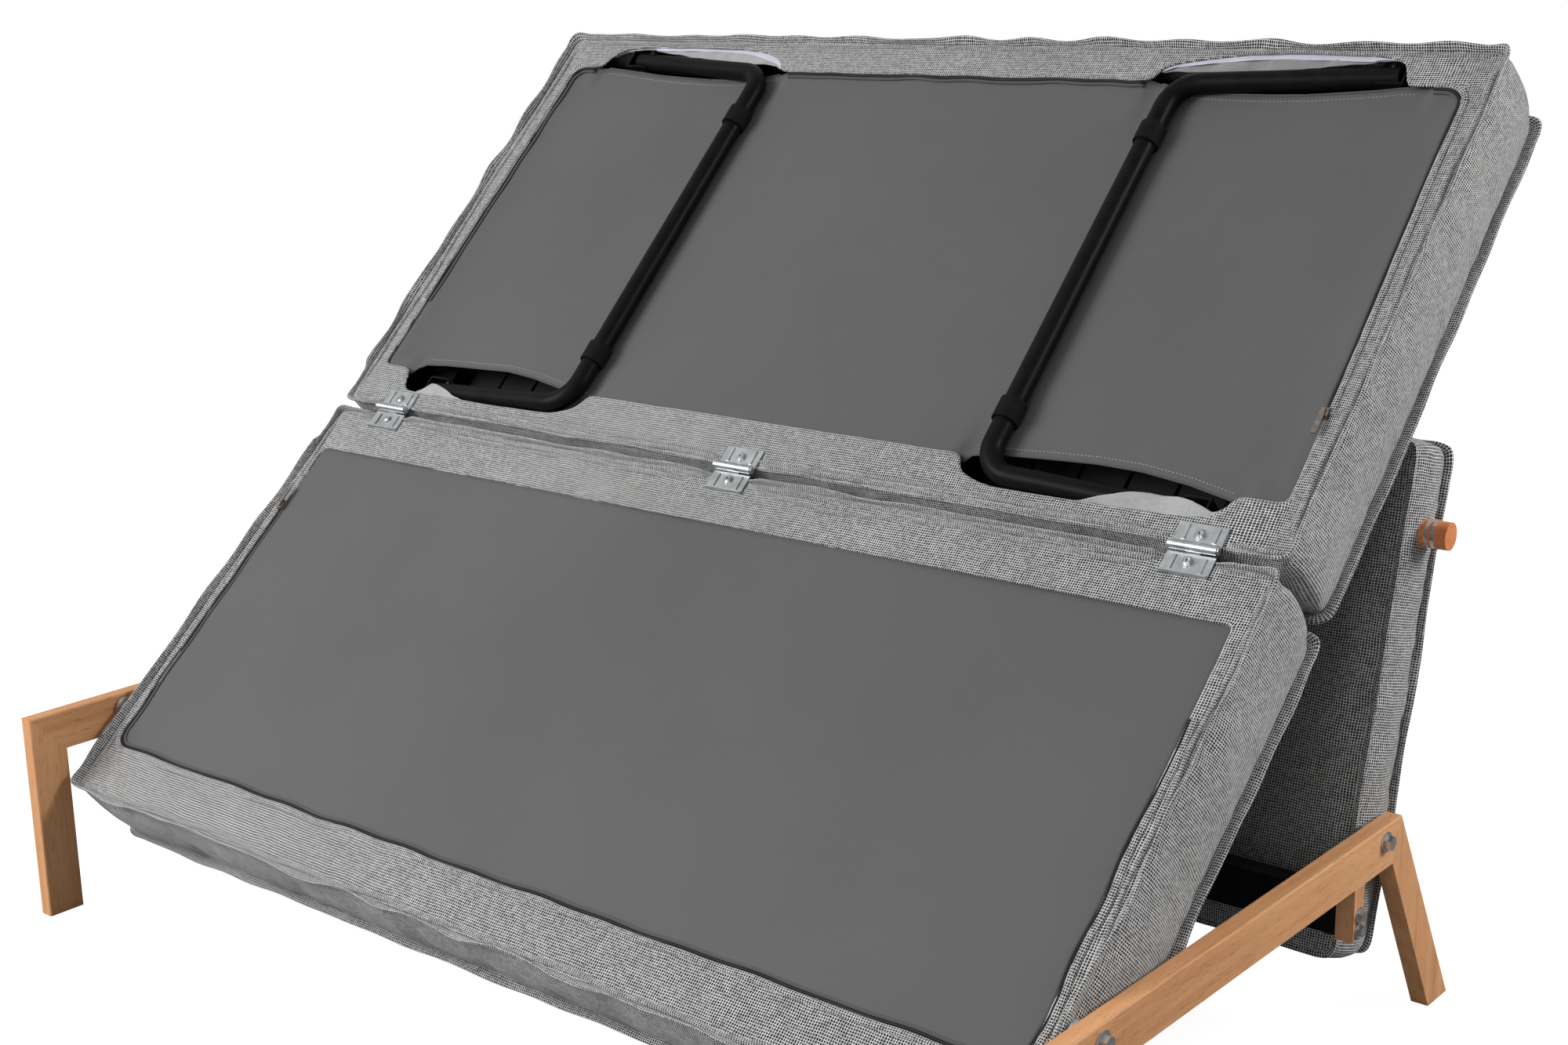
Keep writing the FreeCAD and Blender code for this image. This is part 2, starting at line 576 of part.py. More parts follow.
back_mid = -d.back_thick / 2 + 7
outer = soft_block("back_cover_outside", d.half_width, 0, d.back_length, -d.back_thick, 0,
                   d.soft_round, d.soft_round)
cavity = soft_block("back_cover_cavity", d.half_width - w, w, d.back_length - w, -d.back_thick + w, -w,
                    d.soft_round - w, d.soft_round - w)
holes = [cyl("back_cover_knob_hole_left", "x", -d.half_width - 2, d.knob_u, -d.knob_n, 4.0, 17.0),
         cyl("back_cover_knob_hole_right", "x", d.frame_half, d.knob_u, -d.knob_n, 4.0, 17.0)]
in_back("backrest_cover", cut("back_cover", outer,
        [cavity] + holes + stud_holes("back", d.back_pivot_u, back_mid)))
in_back("backrest_frame", tube_frame("back_frame", d.frame_half, w + 16, d.back_length - w - 16,
        [-d.frame_half / 3, d.frame_half / 3], back_mid + d.tube / 2))
in_back("backrest_front_foam", soft_block("back_front_foam", d.half_width - w - 1, w + 6,
        d.back_length - w - 6, back_mid + d.tube / 2 + 0.5, -w - 1, 1.5, d.soft_round - 9))
in_back("backrest_rear_foam", soft_block("back_rear_foam", d.half_width - w - 1, w + 1,
        d.back_length - w - 1, -d.back_thick + w + 1, back_mid - d.tube / 2 - 3.0, d.soft_round - 3, 1.5))
in_back("backrest_webbing", straps("back", 630, 60.0, w + 18, d.back_length - w - 18,
        back_mid - d.tube / 2 - 2.5, back_mid - d.tube / 2))
in_back("backrest_pivot_ears", pivot_plates("back", d.back_pivot_u, -d.back_pivot_n, None, back_mid))

# turned knobs on the two sides; they come down on the rails when the backrest lies flat
knobs, rings, knob_studs = [], [], []
for side, sign in (("left", -1), ("right", 1)):
    nm = side + "_knob_"
    blank = [cyl(nm + "core", "x", 700.0 if sign > 0 else -730.0, d.knob_u, -d.knob_n, 11.0, 30.0)]
    for k, (a, b) in enumerate(((700.0, 706.5), (710.5, 713.5), (717.5, 730.0))):
        blank.append(cyl(nm + "disc_%d" % k, "x", a if sign > 0 else -b, d.knob_u, -d.knob_n, d.knob_radius, b - a))
    bore = cyl(nm + "bore", "x", 699.0 if sign > 0 else -718.0, d.knob_u, -d.knob_n, 3.05, 19.0)
    knobs.append(cut(nm + "piece", fuse(nm + "turned", blank), [bore]))
    for k, (a, b) in enumerate(((706.5, 710.5), (713.5, 717.5))):
        ring = cyl(nm + "ring_%d" % k, "x", a if sign > 0 else -b, d.knob_u, -d.knob_n, d.ring_radius, b - a)
        hole = cyl(nm + "ring_bore_%d" % k, "x", a - 1 if sign > 0 else -b - 1, d.knob_u, -d.knob_n, 11.05, b - a + 2)
        rings.append(cut(nm + "ring_piece_%d" % k, ring, [hole]))
    shaft = cyl(nm + "stud", "x", d.frame_half if sign > 0 else -717.0, d.knob_u, -d.knob_n, 3.0, 37.0)
    collar = cyl(nm + "collar", "x", d.half_width + 0.3 if sign > 0 else -700.0, d.knob_u, -d.knob_n, 9.0, 4.7)
    knob_studs.append(fuse(nm + "stud_piece", [shaft, collar]))
in_back("knobs", group("knobs_group", knobs))
in_back("knob_rings", group("rings_group", rings))
in_back("knob_studs", group("knob_studs_group", knob_studs))

# --------------------------------------------------------------------- hinges
# Three butt hinges on the undersides.  The lower leaf ends in an upturned lip.
hw = d.hinge_width / 2
reach, th, kr = d.leaf_reach, d.leaf_thick, d.knuckle_radius
gap = 0.4
lower_leaves, upper_leaves, pins, lower_screws, upper_screws = [], [], [], [], []
for k in (-1, 0, 1):
    x = k * d.hinge_spacing
    nm = "hinge_%d_" % (k + 2)
    # leaf on the lower panel, in the lower panel's axes
    ax = d.hinge_u
    solid = [box(nm + "lower_plate", x - hw, x + hw, ax - reach, ax - 5.8, gap, gap + th),
             box(nm + "lower_lip", x - hw, x + hw, ax - reach - 2, ax - reach, gap, gap + 5.6),
             box(nm + "lower_root", x - 8.7, x + 8.7, ax - 5.9, ax, 1.2, gap + th),
             cyl(nm + "lower_knuckle", "x", x - 8.7, ax, d.hinge_n, kr, 17.4)]
    for j in (-1, 1):
        solid.append(box(nm + "lower_rib_%d" % j, x + j * 17 - 2, x + j * 17 + 2, ax - reach + 2, ax - 9,
                         gap + th - 0.5, gap + th + 1.2))
    holes = [cyl(nm + "lower_pin_hole", "x", x - 30, ax, d.hinge_n, d.pin_radius + 0.05, 60.0),
             cyl(nm + "lower_screw_hole", "z", x, screw_u, gap - 1, 3.1, th + 2)]
    lower_leaves.append(cut(nm + "lower_leaf", fuse(nm + "lower_solid", solid), holes))
    lower_screws.append(fuse(nm + "lower_screw", [
        cyl(nm + "lower_shank", "z", x, screw_u, -d.frame_skin, 3.0, d.frame_skin + gap + th),
        buttonhead(nm + "lower_head", x, screw_u, gap + th)]))
    # leaf on the upper panel, in the upper panel's axes
    solid = [box(nm + "upper_plate", x - hw, x + hw, 5.8, reach, gap, gap + th)]
    for j in (-1, 1):
        a = x + 9 if j > 0 else x - hw
        solid.append(box(nm + "upper_root_%d" % j, a, a + hw - 9, 0, 5.9, 1.2, gap + th))
        solid.append(cyl(nm + "upper_knuckle_%d" % j, "x", a, 0, d.hinge_n, kr, hw - 9))
        solid.append(box(nm + "upper_rib_%d" % j, x + j * 17 - 2, x + j * 17 + 2, 9, reach - 2,
                         gap + th - 0.5, gap + th + 1.2))
    holes = [cyl(nm + "upper_pin_hole", "x", x - 30, 0, d.hinge_n, d.pin_radius + 0.05, 60.0),
             cyl(nm + "upper_screw_hole", "z", x, screw_v, gap - 1, 3.1, th + 2)]
    upper_leaves.append(cut(nm + "upper_leaf", fuse(nm + "upper_solid", solid), holes))
    upper_screws.append(fuse(nm + "upper_screw", [
        cyl(nm + "upper_shank", "z", x, screw_v, -upper_skin + 1.5, 3.0, upper_skin - 1.5 + gap + th),
        buttonhead(nm + "upper_head", x, screw_v, gap + th)]))
    pins.append(fuse(nm + "pin", [
        cyl(nm + "pin_shank", "x", x - hw - 1.2, 0, d.hinge_n, d.pin_radius, 2 * hw + 2.4),
        cyl(nm + "pin_head", "x", x + hw + 0.2, 0, d.hinge_n, 3.6, 1.6)]))
in_lower("lower_hinge_leaves", group("lower_leaves_group", lower_leaves))
in_lower("lower_hinge_screws", group("lower_screws_group", lower_screws))
in_upper("upper_hinge_leaves", group("upper_leaves_group", upper_leaves))
in_upper("upper_hinge_screws", group("upper_screws_group", upper_screws))
in_upper("hinge_pins", group("hinge_pins_group", pins))

# ------------------------------------------------------------- fold-out legs
# Two U-shaped tube legs lie against the upper panel and turn on pins between
# bracket cheeks welded to its frame.  A leg's own axes: origin at its pivot,
# X towards the middle bar, Y along the bar.
span = d.leg_high - d.leg_low


# The arm at the panel's upper end opens outwards by the splay; the other arm is square to the bar.
turn = 90 - d.leg_splay
bend_reach = d.leg_bend * sinq(turn) / (1 + cosq(turn))
splay_x = d.leg_arm - d.leg_bend + d.leg_bend * cosq(turn)
splay_y = span - bend_reach + d.leg_bend * sinq(turn)
pivot_high = splay_y + splay_x * sinq(d.leg_splay) / cosq(d.leg_splay)


def splayed(name, parts):
    """Lay pieces built along +x from a bend's end out along the splayed arm."""
    return put(group(name + "_splayed", parts), splay_x, splay_y, 0, axis=V(0, 0, 1), angle=180 - d.leg_splay)


def u_run(name, radius, start):
    r, b = q(radius), d.leg_bend
    out = [cyl(name + "_low_arm", "x", start, 0, 0, r, d.leg_arm - b - start),
           splayed(name, [cyl(name + "_high_arm", "x", 0, 0, 0, r, splay_x / cosq(d.leg_splay) - start)]),
           cyl(name + "_bar", "y", d.leg_arm, b, 0, r, span - b - bend_reach)]
    for tag, y, arc, angle in (("low", b, q(90.0), -90.0), ("high", span - bend_reach, turn, 0.0)):
        t = doc.addObject("Part::Torus", name + "_%s_bend" % tag)
        t.Radius1, t.Radius2, t.Angle3 = b.v, r.v, arc.v
        bind(t, "Radius1", b)
        bind(t, "Radius2", r)
        out.append(put(t, d.leg_arm - b, y, 0, axis=V(0, 0, 1), angle=angle))
    return fuse(name, out)


def leg_piece(label, side, parts):
    """Turn pieces from a leg's own axes into the upper panel's, then into place."""
    g = group(label + "_own", parts)
    if side == "left":
        put(g, -d.leg_pivot_x, d.leg_low, -d.leg_pivot_n, axis=V(0, 1, 0), angle=-d.leg_slope)
    else:
        put(g, d.leg_pivot_x + d.leg_shift, d.leg_low, -d.leg_pivot_n, axis=V(0, 1, 0), angle=180 + d.leg_slope)
    return in_upper(label, group(label + "_group", [g]))


for side in ("left", "right"):
    nm = side + "_leg_"
    holes = [cyl(nm + "pin_hole_%d" % i, "y", 0, y - 15, 0, d.leg_pin + 0.05, 30.0)
             for i, y in enumerate((q(0), pivot_high))]
    leg_piece(side + "_leg_tube", side, [cut(nm + "tube_piece", u_run(nm + "outside", d.leg_radius, q(-11.5)),
                                            [u_run(nm + "inside", d.leg_radius - d.leg_wall, q(-12.5))] + holes)])
    sleeves = []
    for i, y in enumerate((77.0, 467.0)):
        ring = cyl(nm + "sleeve_%d" % i, "y", d.leg_arm, y - 13, 0, 15.5, 26.0)
        bore = cyl(nm + "sleeve_bore_%d" % i, "y", d.leg_arm, y - 14, 0, d.leg_radius, 28.0)
        sleeves.append(cut(nm + "sleeve_piece_%d" % i, ring, [bore]))
    leg_piece(side + "_leg_sleeves", side, sleeves)
    caps = [cyl(nm + "cap_0", "x", -13.0, 0, 0, d.leg_radius, 1.5),
            splayed(nm + "cap", [cyl(nm + "cap_1", "x", splay_x / cosq(d.leg_splay) + 11.5, 0, 0, d.leg_radius, 1.5)])]
    leg_piece(side + "_leg_caps", side, caps)

cheeks, leg_pins = [], []
for side, sign in (("left", -1), ("right", 1)):
    for tag, v, room in (("low", d.leg_low, 13.0), ("high", d.leg_low + pivot_high, 15.0)):
        nm = "bracket_%s_%s_" % (side, tag)
        px = d.leg_pivot_x + d.leg_shift if sign > 0 else -d.leg_pivot_x
        rail_x = d.frame_inner + d.leg_shift if sign > 0 else d.frame_inner
        a, b = (px, rail_x + 2.5) if sign > 0 else (-rail_x - 2.5, px)
        solid = []
        for j in (-1, 1):
            y = v + room if j > 0 else v - room - 2.5
            solid.append(box(nm + "cheek_%d" % j, a, b, y, y + 2.5, -d.leg_pivot_n - 12, -d.leg_pivot_n + 12))
            solid.append(cyl(nm + "round_%d" % j, "y", px, y, -d.leg_pivot_n, 12.0, 2.5))
        base = rail_x if sign > 0 else -rail_x - 2.5
        solid.append(box(nm + "base", base, base + 2.5, v - room - 2.5, v + room + 2.5,
                         -upper_skin, -d.leg_pivot_n + 12))
        hole = cyl(nm + "pin_hole", "y", px, v - 19, -d.leg_pivot_n, d.leg_pin + 0.05, 38.0)
        cheeks.append(cut(nm + "piece", fuse(nm + "solid", solid), [hole]))
        leg_pins.append(cyl(nm + "pin", "y", px, v - room - 2.5, -d.leg_pivot_n, d.leg_pin, 2 * room + 5))
in_upper("leg_brackets", group("brackets_group", cheeks))
in_upper("leg_pivot_pins", group("leg_pins_group", leg_pins))

# ---------------------------------------------------------------- zip sliders
# Body of the slider with its pull tab, on the cover beside the lining.
def slider(name, x, y, direction):
    body_ = box(name + "_block", x - 4.5, x + 4.5, y - 6, y + 6, 0.3, 4.8)
    bridge = box(name + "_bridge", x - 1.5, x + 1.5, y - 4, y + 4, 4.7, 6.6)
    y0, y1 = (y - 27, y - 3) if direction < 0 else (y + 3, y + 27)
    tab = box(name + "_tab", x - 3, x + 3, y0, y1, 6.5, 8.0)
    return fuse(name + "_whole", [body_, bridge, tab])


in_lower("lower_zip_slider", slider("lower_slider", q(-677.0), q(451.0), 1))
in_upper("upper_zip_slider", slider("upper_slider", q(665.0), q(174.0), -1))

# ---------------------------------------------------------------------- write
doc.recompute()
for obj in doc.Objects:
    if "Invalid" in obj.State or "Error" in obj.State:
        raise RuntimeError("%s: %s" % (obj.Name, obj.State))
os.makedirs("parts", exist_ok=True)
whole = FreeCAD.BoundBox()
labels = [n.Label for n in nodes]
if len(set(labels)) != len(labels):
    raise RuntimeError("two nodes share a label")
for n in nodes:
    shape = n.Shape
    if shape.isNull() or not shape.isValid() or not shape.Solids:
        raise RuntimeError("%s has no valid solid" % n.Label)
    shape.exportStep("parts/%s.step" % n.Label)
    whole.add(shape.BoundBox)
    print("%-26s %2d solids %12.0f mm3" % (n.Label, len(shape.Solids), shape.Volume))
print("nodes", len(nodes), "box", [round(c, 2) for c in
      (whole.XMin, whole.XMax, whole.YMin, whole.YMax, whole.ZMin, whole.ZMax)])
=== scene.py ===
import bpy, math, random
import numpy as np
from mathutils import Matrix, Vector


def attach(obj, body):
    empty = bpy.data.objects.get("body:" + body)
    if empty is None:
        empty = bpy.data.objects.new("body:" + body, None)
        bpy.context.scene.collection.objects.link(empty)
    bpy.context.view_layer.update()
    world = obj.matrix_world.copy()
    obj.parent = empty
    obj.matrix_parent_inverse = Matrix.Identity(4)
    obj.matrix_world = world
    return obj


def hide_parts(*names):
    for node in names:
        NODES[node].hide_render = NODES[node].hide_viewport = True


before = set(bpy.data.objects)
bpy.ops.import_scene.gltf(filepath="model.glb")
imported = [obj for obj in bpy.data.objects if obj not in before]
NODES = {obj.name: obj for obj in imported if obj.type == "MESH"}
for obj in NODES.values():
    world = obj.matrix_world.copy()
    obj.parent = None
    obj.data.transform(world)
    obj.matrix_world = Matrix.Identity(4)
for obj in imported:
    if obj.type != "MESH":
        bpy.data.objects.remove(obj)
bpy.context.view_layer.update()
MM = 0.001
YM = 518.4
scene = bpy.context.scene
random.seed(7)


# ------------------------------------------------------------------ places
# Each panel's own axes: x across, y along the panel, z out of its underside.
def panel_matrix(y, z, deg):
    a = math.radians(deg)
    m = np.eye(4)
    m[1, 1], m[1, 2], m[2, 1], m[2, 2] = math.cos(a), -math.sin(a), math.sin(a), math.cos(a)
    m[1, 3], m[2, 3] = y, z
    return m


def cs(d):
    return math.cos(math.radians(d)), math.sin(math.radians(d))


ca, sa = cs(41.6)
LY, LZ = 130.2 - YM - 126.6 * ca, 240 - 126.6 * sa
HY, HZ = LY + 623.7 * ca - 6 * sa, LZ + 623.7 * sa + 6 * ca
cu, su = cs(44.6)
UY, UZ = HY + 6 * su, HZ - 6 * cu
cb, sb = cs(75)
BY, BZ = 680 - YM - 140 * cb - 7 * sb, 240 - 140 * sb + 7 * cb
PANEL = {"lower": panel_matrix(LY, LZ, 41.6), "upper": panel_matrix(UY, UZ, 44.6), "back": panel_matrix(BY, BZ, 75),
         "world": np.array([[1, 0, 0, 0], [0, 1, 0, -YM], [0, 0, 1, 0], [0, 0, 0, 1.0]])}
BODY = {"lower": "seat_lower", "upper": "seat_upper", "back": "backrest", "world": "base"}


def to_world(panel, pts):
    pts = np.asarray(pts, float)
    m = PANEL[panel]
    return (pts @ m[:3, :3].T + m[:3, 3]) * MM


def waves(seed, n=5, lo=90.0, hi=420.0):
    """A smooth repeatable wavy function of a length in mm, roughly within -1..1."""
    r = random.Random(seed)
    parts = [(2 * math.pi / r.uniform(lo, hi), r.uniform(0, 6.28), r.uniform(0.5, 1.0)) for _ in range(n)]
    total = math.sqrt(sum(p[2] ** 2 for p in parts)) * 1.1

    def f(s):
        s = np.asarray(s, float)
        return sum(a * np.sin(k * s + p) for k, p, a in parts) / total
    return f


def smooth(a, b, x):
    t = np.clip((np.asarray(x, float) - a) / (b - a), 0, 1)
    return t * t * (3 - 2 * t)


# ------------------------------------------------------------- mesh helpers
def make(name, verts, faces, uv=None, smooth_shade=True, mats=(), mat_index=None):
    me = bpy.data.meshes.new(name)
    me.from_pydata([tuple(v) for v in verts], [], [tuple(f) for f in faces])
    if uv is not None:
        layer = me.uv_layers.new(name="weave")
        flat = np.asarray([c for f in uv for c in f], np.float32).reshape(-1)
        layer.data.foreach_set("uv", flat)
    if smooth_shade:
        me.polygons.foreach_set("use_smooth", [True] * len(me.polygons))
    for m in mats:
        me.materials.append(m)
    if mat_index is not None:
        me.polygons.foreach_set("material_index", mat_index)
    me.update()
    o = bpy.data.objects.new(name, me)
    scene.collection.objects.link(o)
    return o


def bake(o):
    """Applies an object's modifiers to its mesh."""
    bpy.context.view_layer.update()
    dg = bpy.context.evaluated_depsgraph_get()
    me = bpy.data.meshes.new_from_object(o.evaluated_get(dg), preserve_all_data_layers=True, depsgraph=dg)
    o.modifiers.clear()
    old = o.data
    o.data = me
    me.name = o.name
    bpy.data.meshes.remove(old)
    return o


def co(o):
    a = np.empty(len(o.data.vertices) * 3, np.float64)
    o.data.vertices.foreach_get("co", a)
    return a.reshape(-1, 3)


def set_co(o, a):
    o.data.vertices.foreach_set("co", np.asarray(a, np.float32).reshape(-1))
    o.data.update()


def place(o, panel):
    set_co(o, to_world(panel, co(o)))
    return o


# -------------------------------------------------------------- materials
def new_mat(name):
    m = bpy.data.materials.new(name)
    m.use_nodes = True
    nt = m.node_tree
    bsdf = nt.nodes["Principled BSDF"]
    return m, nt, bsdf


def nd(nt, kind, **kw):
    n = nt.nodes.new(kind)
    for k, v in kw.items():
        setattr(n, k, v)
    return n


def math_node(nt, op, a, b=None, c=None, clamp=False):
    n = nd(nt, "ShaderNodeMath", operation=op, use_clamp=clamp)
    for i, v in enumerate((a, b, c)):
        if v is None:
            continue
        if isinstance(v, (int, float)):
            n.inputs[i].default_value = v
        else:
            nt.links.new(v, n.inputs[i])
    return n.outputs[0]


def ramp(nt, fac, stops):
    r = nd(nt, "ShaderNodeValToRGB")
    while len(r.color_ramp.elements) < len(stops):
        r.color_ramp.elements.new(0.5)
    for e, (p, c) in zip(r.color_ramp.elements, stops):
        e.position = p
        e.color = (*c, 1) if len(c) == 3 else c
    nt.links.new(fac, r.inputs[0])
    return r.outputs[0]


def noise(nt, vec, scale, detail=3, rough=0.55):
    n = nd(nt, "ShaderNodeTexNoise")
    n.inputs["Scale"].default_value = scale
    n.inputs["Detail"].default_value = detail
    n.inputs["Roughness"].default_value = rough
    if vec is not None:
        nt.links.new(vec, n.inputs["Vector"])
    return n.outputs["Fac"]


def bump(nt, bsdf, height, strength, distance):
    b = nd(nt, "ShaderNodeBump")
    b.inputs["Strength"].default_value = strength
    b.inputs["Distance"].default_value = distance
    nt.links.new(height, b.inputs["Height"])
    nt.links.new(b.outputs[0], bsdf.inputs["Normal"])


def obj_coord(nt):
    return nd(nt, "ShaderNodeTexCoord").outputs["Object"]


def check_fabric(name="check_weave", tone=1.0):
    """Off-white threads crossing over black in a small even check, 3 mm from square to square."""
    m, nt, bsdf = new_mat(name)
    uv = nd(nt, "ShaderNodeUVMap", uv_map="weave").outputs[0]
    # slight drift of the threads
    wob = nd(nt, "ShaderNodeTexNoise")
    wob.inputs["Scale"].default_value = 0.02
    wob.inputs["Detail"].default_value = 2
    nt.links.new(uv, wob.inputs["Vector"])
    add = nd(nt, "ShaderNodeVectorMath", operation="MULTIPLY_ADD")
    nt.links.new(wob.outputs["Color"], add.inputs[0])
    add.inputs[1].default_value = (5, 5, 0)
    nt.links.new(uv, add.inputs[2])
    sep = nd(nt, "ShaderNodeSeparateXYZ")
    nt.links.new(add.outputs[0], sep.inputs[0])
    u = math_node(nt, "DIVIDE", sep.outputs[0], 2.9)
    v = math_node(nt, "DIVIDE", sep.outputs[1], 2.9)
    fu = math_node(nt, "ABSOLUTE", math_node(nt, "SUBTRACT", math_node(nt, "FRACT", u), 0.5))
    fv = math_node(nt, "ABSOLUTE", math_node(nt, "SUBTRACT", math_node(nt, "FRACT", v), 0.5))
    # thread to thread variation of the squares' size
    cell = nd(nt, "ShaderNodeCombineXYZ")
    nt.links.new(math_node(nt, "FLOOR", u), cell.inputs[0])
    nt.links.new(math_node(nt, "FLOOR", v), cell.inputs[1])
    wn = nd(nt, "ShaderNodeTexWhiteNoise", noise_dimensions="2D")
    nt.links.new(cell.outputs[0], wn.inputs["Vector"])
    size = math_node(nt, "MULTIPLY_ADD", wn.outputs["Value"], 0.09, 0.365)
    du = math_node(nt, "MULTIPLY", math_node(nt, "SUBTRACT", size, fu), 12.0, clamp=True)
    dv = math_node(nt, "MULTIPLY", math_node(nt, "SUBTRACT", math_node(nt, "ADD", size, 0.02), fv), 12.0, clamp=True)
    black = math_node(nt, "MULTIPLY", du, dv)
    # fine fibres over the threads
    fib = noise(nt, uv, 2.4, 2, 0.7)
    blot = noise(nt, uv, 0.006, 3)
    white = ramp(nt, fib, [(0.25, (0.56 * tone, 0.56 * tone, 0.555 * tone)), (0.70, (0.96 * tone, 0.96 * tone, 0.955 * tone))])
    dark = ramp(nt, fib, [(0.3, (0.006, 0.006, 0.0065)), (0.8, (0.026, 0.026, 0.027))])
    mix = nd(nt, "ShaderNodeMix", data_type="RGBA")
    nt.links.new(black, mix.inputs["Factor"])
    nt.links.new(white, mix.inputs["A"])
    nt.links.new(dark, mix.inputs["B"])
    shade = nd(nt, "ShaderNodeMix", data_type="RGBA", blend_type="MULTIPLY")
    shade.inputs["Factor"].default_value = 1.0
    nt.links.new(mix.outputs["Result"], shade.inputs["A"])
    nt.links.new(ramp(nt, blot, [(0.3, (0.90, 0.90, 0.90)), (0.7, (1.0, 1.0, 1.0))]), shade.inputs["B"])
    nt.links.new(shade.outputs["Result"], bsdf.inputs["Base Color"])
    bsdf.inputs["Roughness"].default_value = 0.92
    bsdf.inputs["Specular IOR Level"].default_value = 0.2
    bsdf.inputs["Sheen Weight"].default_value = 0.25
    bsdf.inputs["Sheen Roughness"].default_value = 0.6
    height = math_node(nt, "MULTIPLY_ADD", fib, 0.25, math_node(nt, "SUBTRACT", 1.0, math_node(nt, "MULTIPLY", black, 0.6)))
    bump(nt, bsdf, height, 0.6, 0.0006)
    return m


def cloth_mat(name, c0, c1, rough=0.85, scale=900.0, depth=0.00025, blot=3.0, sheen=0.1, strength=0.35):
    """A plain close-woven or non-woven cloth with fine grain and faint clouding."""
    m, nt, bsdf = new_mat(name)
    v = obj_coord(nt)
    fine = noise(nt, v, scale, 2, 0.6)
    cloud = noise(nt, v, blot, 4, 0.55)
    fac = math_node(nt, "ADD", math_node(nt, "MULTIPLY", fine, 0.45), math_node(nt, "MULTIPLY", cloud, 0.55))
    nt.links.new(ramp(nt, fac, [(0.32, c0), (0.68, c1)]), bsdf.inputs["Base Color"])
    nt.links.new(math_node(nt, "MULTIPLY_ADD", fine, 0.12, rough - 0.06), bsdf.inputs["Roughness"])
    bsdf.inputs["Specular IOR Level"].default_value = 0.25
    bsdf.inputs["Sheen Weight"].default_value = sheen
    bump(nt, bsdf, fine, strength, depth)
    return m


def wood_mat(name, axis, c=((0.56, 0.25, 0.105), (0.74, 0.37, 0.17), (0.84, 0.46, 0.23))):
    """Lacquered beech with its grain along the axis: long streaks, short flecks and pores."""
    m, nt, bsdf = new_mat(name)
    mp = nd(nt, "ShaderNodeMapping")
    nt.links.new(obj_coord(nt), mp.inputs["Vector"])
    if axis == "y":
        mp.inputs["Rotation"].default_value = (0, 0, -math.pi / 2)
    elif axis == "z":
        mp.inputs["Rotation"].default_value = (0, math.pi / 2, 0)
    elif axis == "slope":
        mp.inputs["Rotation"].default_value = (0, math.pi / 2, 0)
    st = nd(nt, "ShaderNodeMapping")
    st.inputs["Scale"].default_value = (3.0, 70.0, 70.0)
    nt.links.new(mp.outputs[0], st.inputs["Vector"])
    streak = noise(nt, st.outputs[0], 1.0, 5, 0.6)
    fl = nd(nt, "ShaderNodeMapping")
    fl.inputs["Scale"].default_value = (60.0, 700.0, 700.0)
    nt.links.new(mp.outputs[0], fl.inputs["Vector"])
    fleck = noise(nt, fl.outputs[0], 1.0, 2, 0.5)
    big = noise(nt, mp.outputs[0], 5.0, 3, 0.5)
    fac = math_node(nt, "ADD", math_node(nt, "MULTIPLY", streak, 0.62), math_node(nt, "MULTIPLY", big, 0.38))
    base = ramp(nt, fac, [(0.30, c[0]), (0.50, c[1]), (0.72, c[2])])
    mix = nd(nt, "ShaderNodeMix", data_type="RGBA", blend_type="MULTIPLY")
    nt.links.new(ramp(nt, fleck, [(0.30, (0.55, 0.5, 0.45)), (0.42, (1, 1, 1))]), mix.inputs["B"])
    nt.links.new(base, mix.inputs["A"])
    mix.inputs["Factor"].default_value = 0.55
    nt.links.new(mix.outputs["Result"], bsdf.inputs["Base Color"])
    nt.links.new(math_node(nt, "MULTIPLY_ADD", streak, 0.12, 0.42), bsdf.inputs["Roughness"])
    bsdf.inputs["Specular IOR Level"].default_value = 0.3
    bsdf.inputs["Coat Weight"].default_value = 0.06
    bsdf.inputs["Coat Roughness"].default_value = 0.3
    bump(nt, bsdf, fleck, 0.12, 0.0002)
    return m


def metal_mat(name, c0, c1, metallic=1.0, r0=0.25, r1=0.45, scale=60.0, bump_scale=500.0, depth=0.00008, spec=0.5):
    m, nt, bsdf = new_mat(name)
    v = obj_coord(nt)
    a = noise(nt, v, scale, 4, 0.6)
    b = noise(nt, v, bump_scale, 2, 0.6)
    nt.links.new(ramp(nt, a, [(0.3, c0), (0.7, c1)]), bsdf.inputs["Base Color"])
    nt.links.new(math_node(nt, "MULTIPLY_ADD", a, r1 - r0, r0), bsdf.inputs["Roughness"])
    bsdf.inputs["Metallic"].default_value = metallic
    bsdf.inputs["Specular IOR Level"].default_value = spec
    bump(nt, bsdf, b, 0.3, depth)
    return m


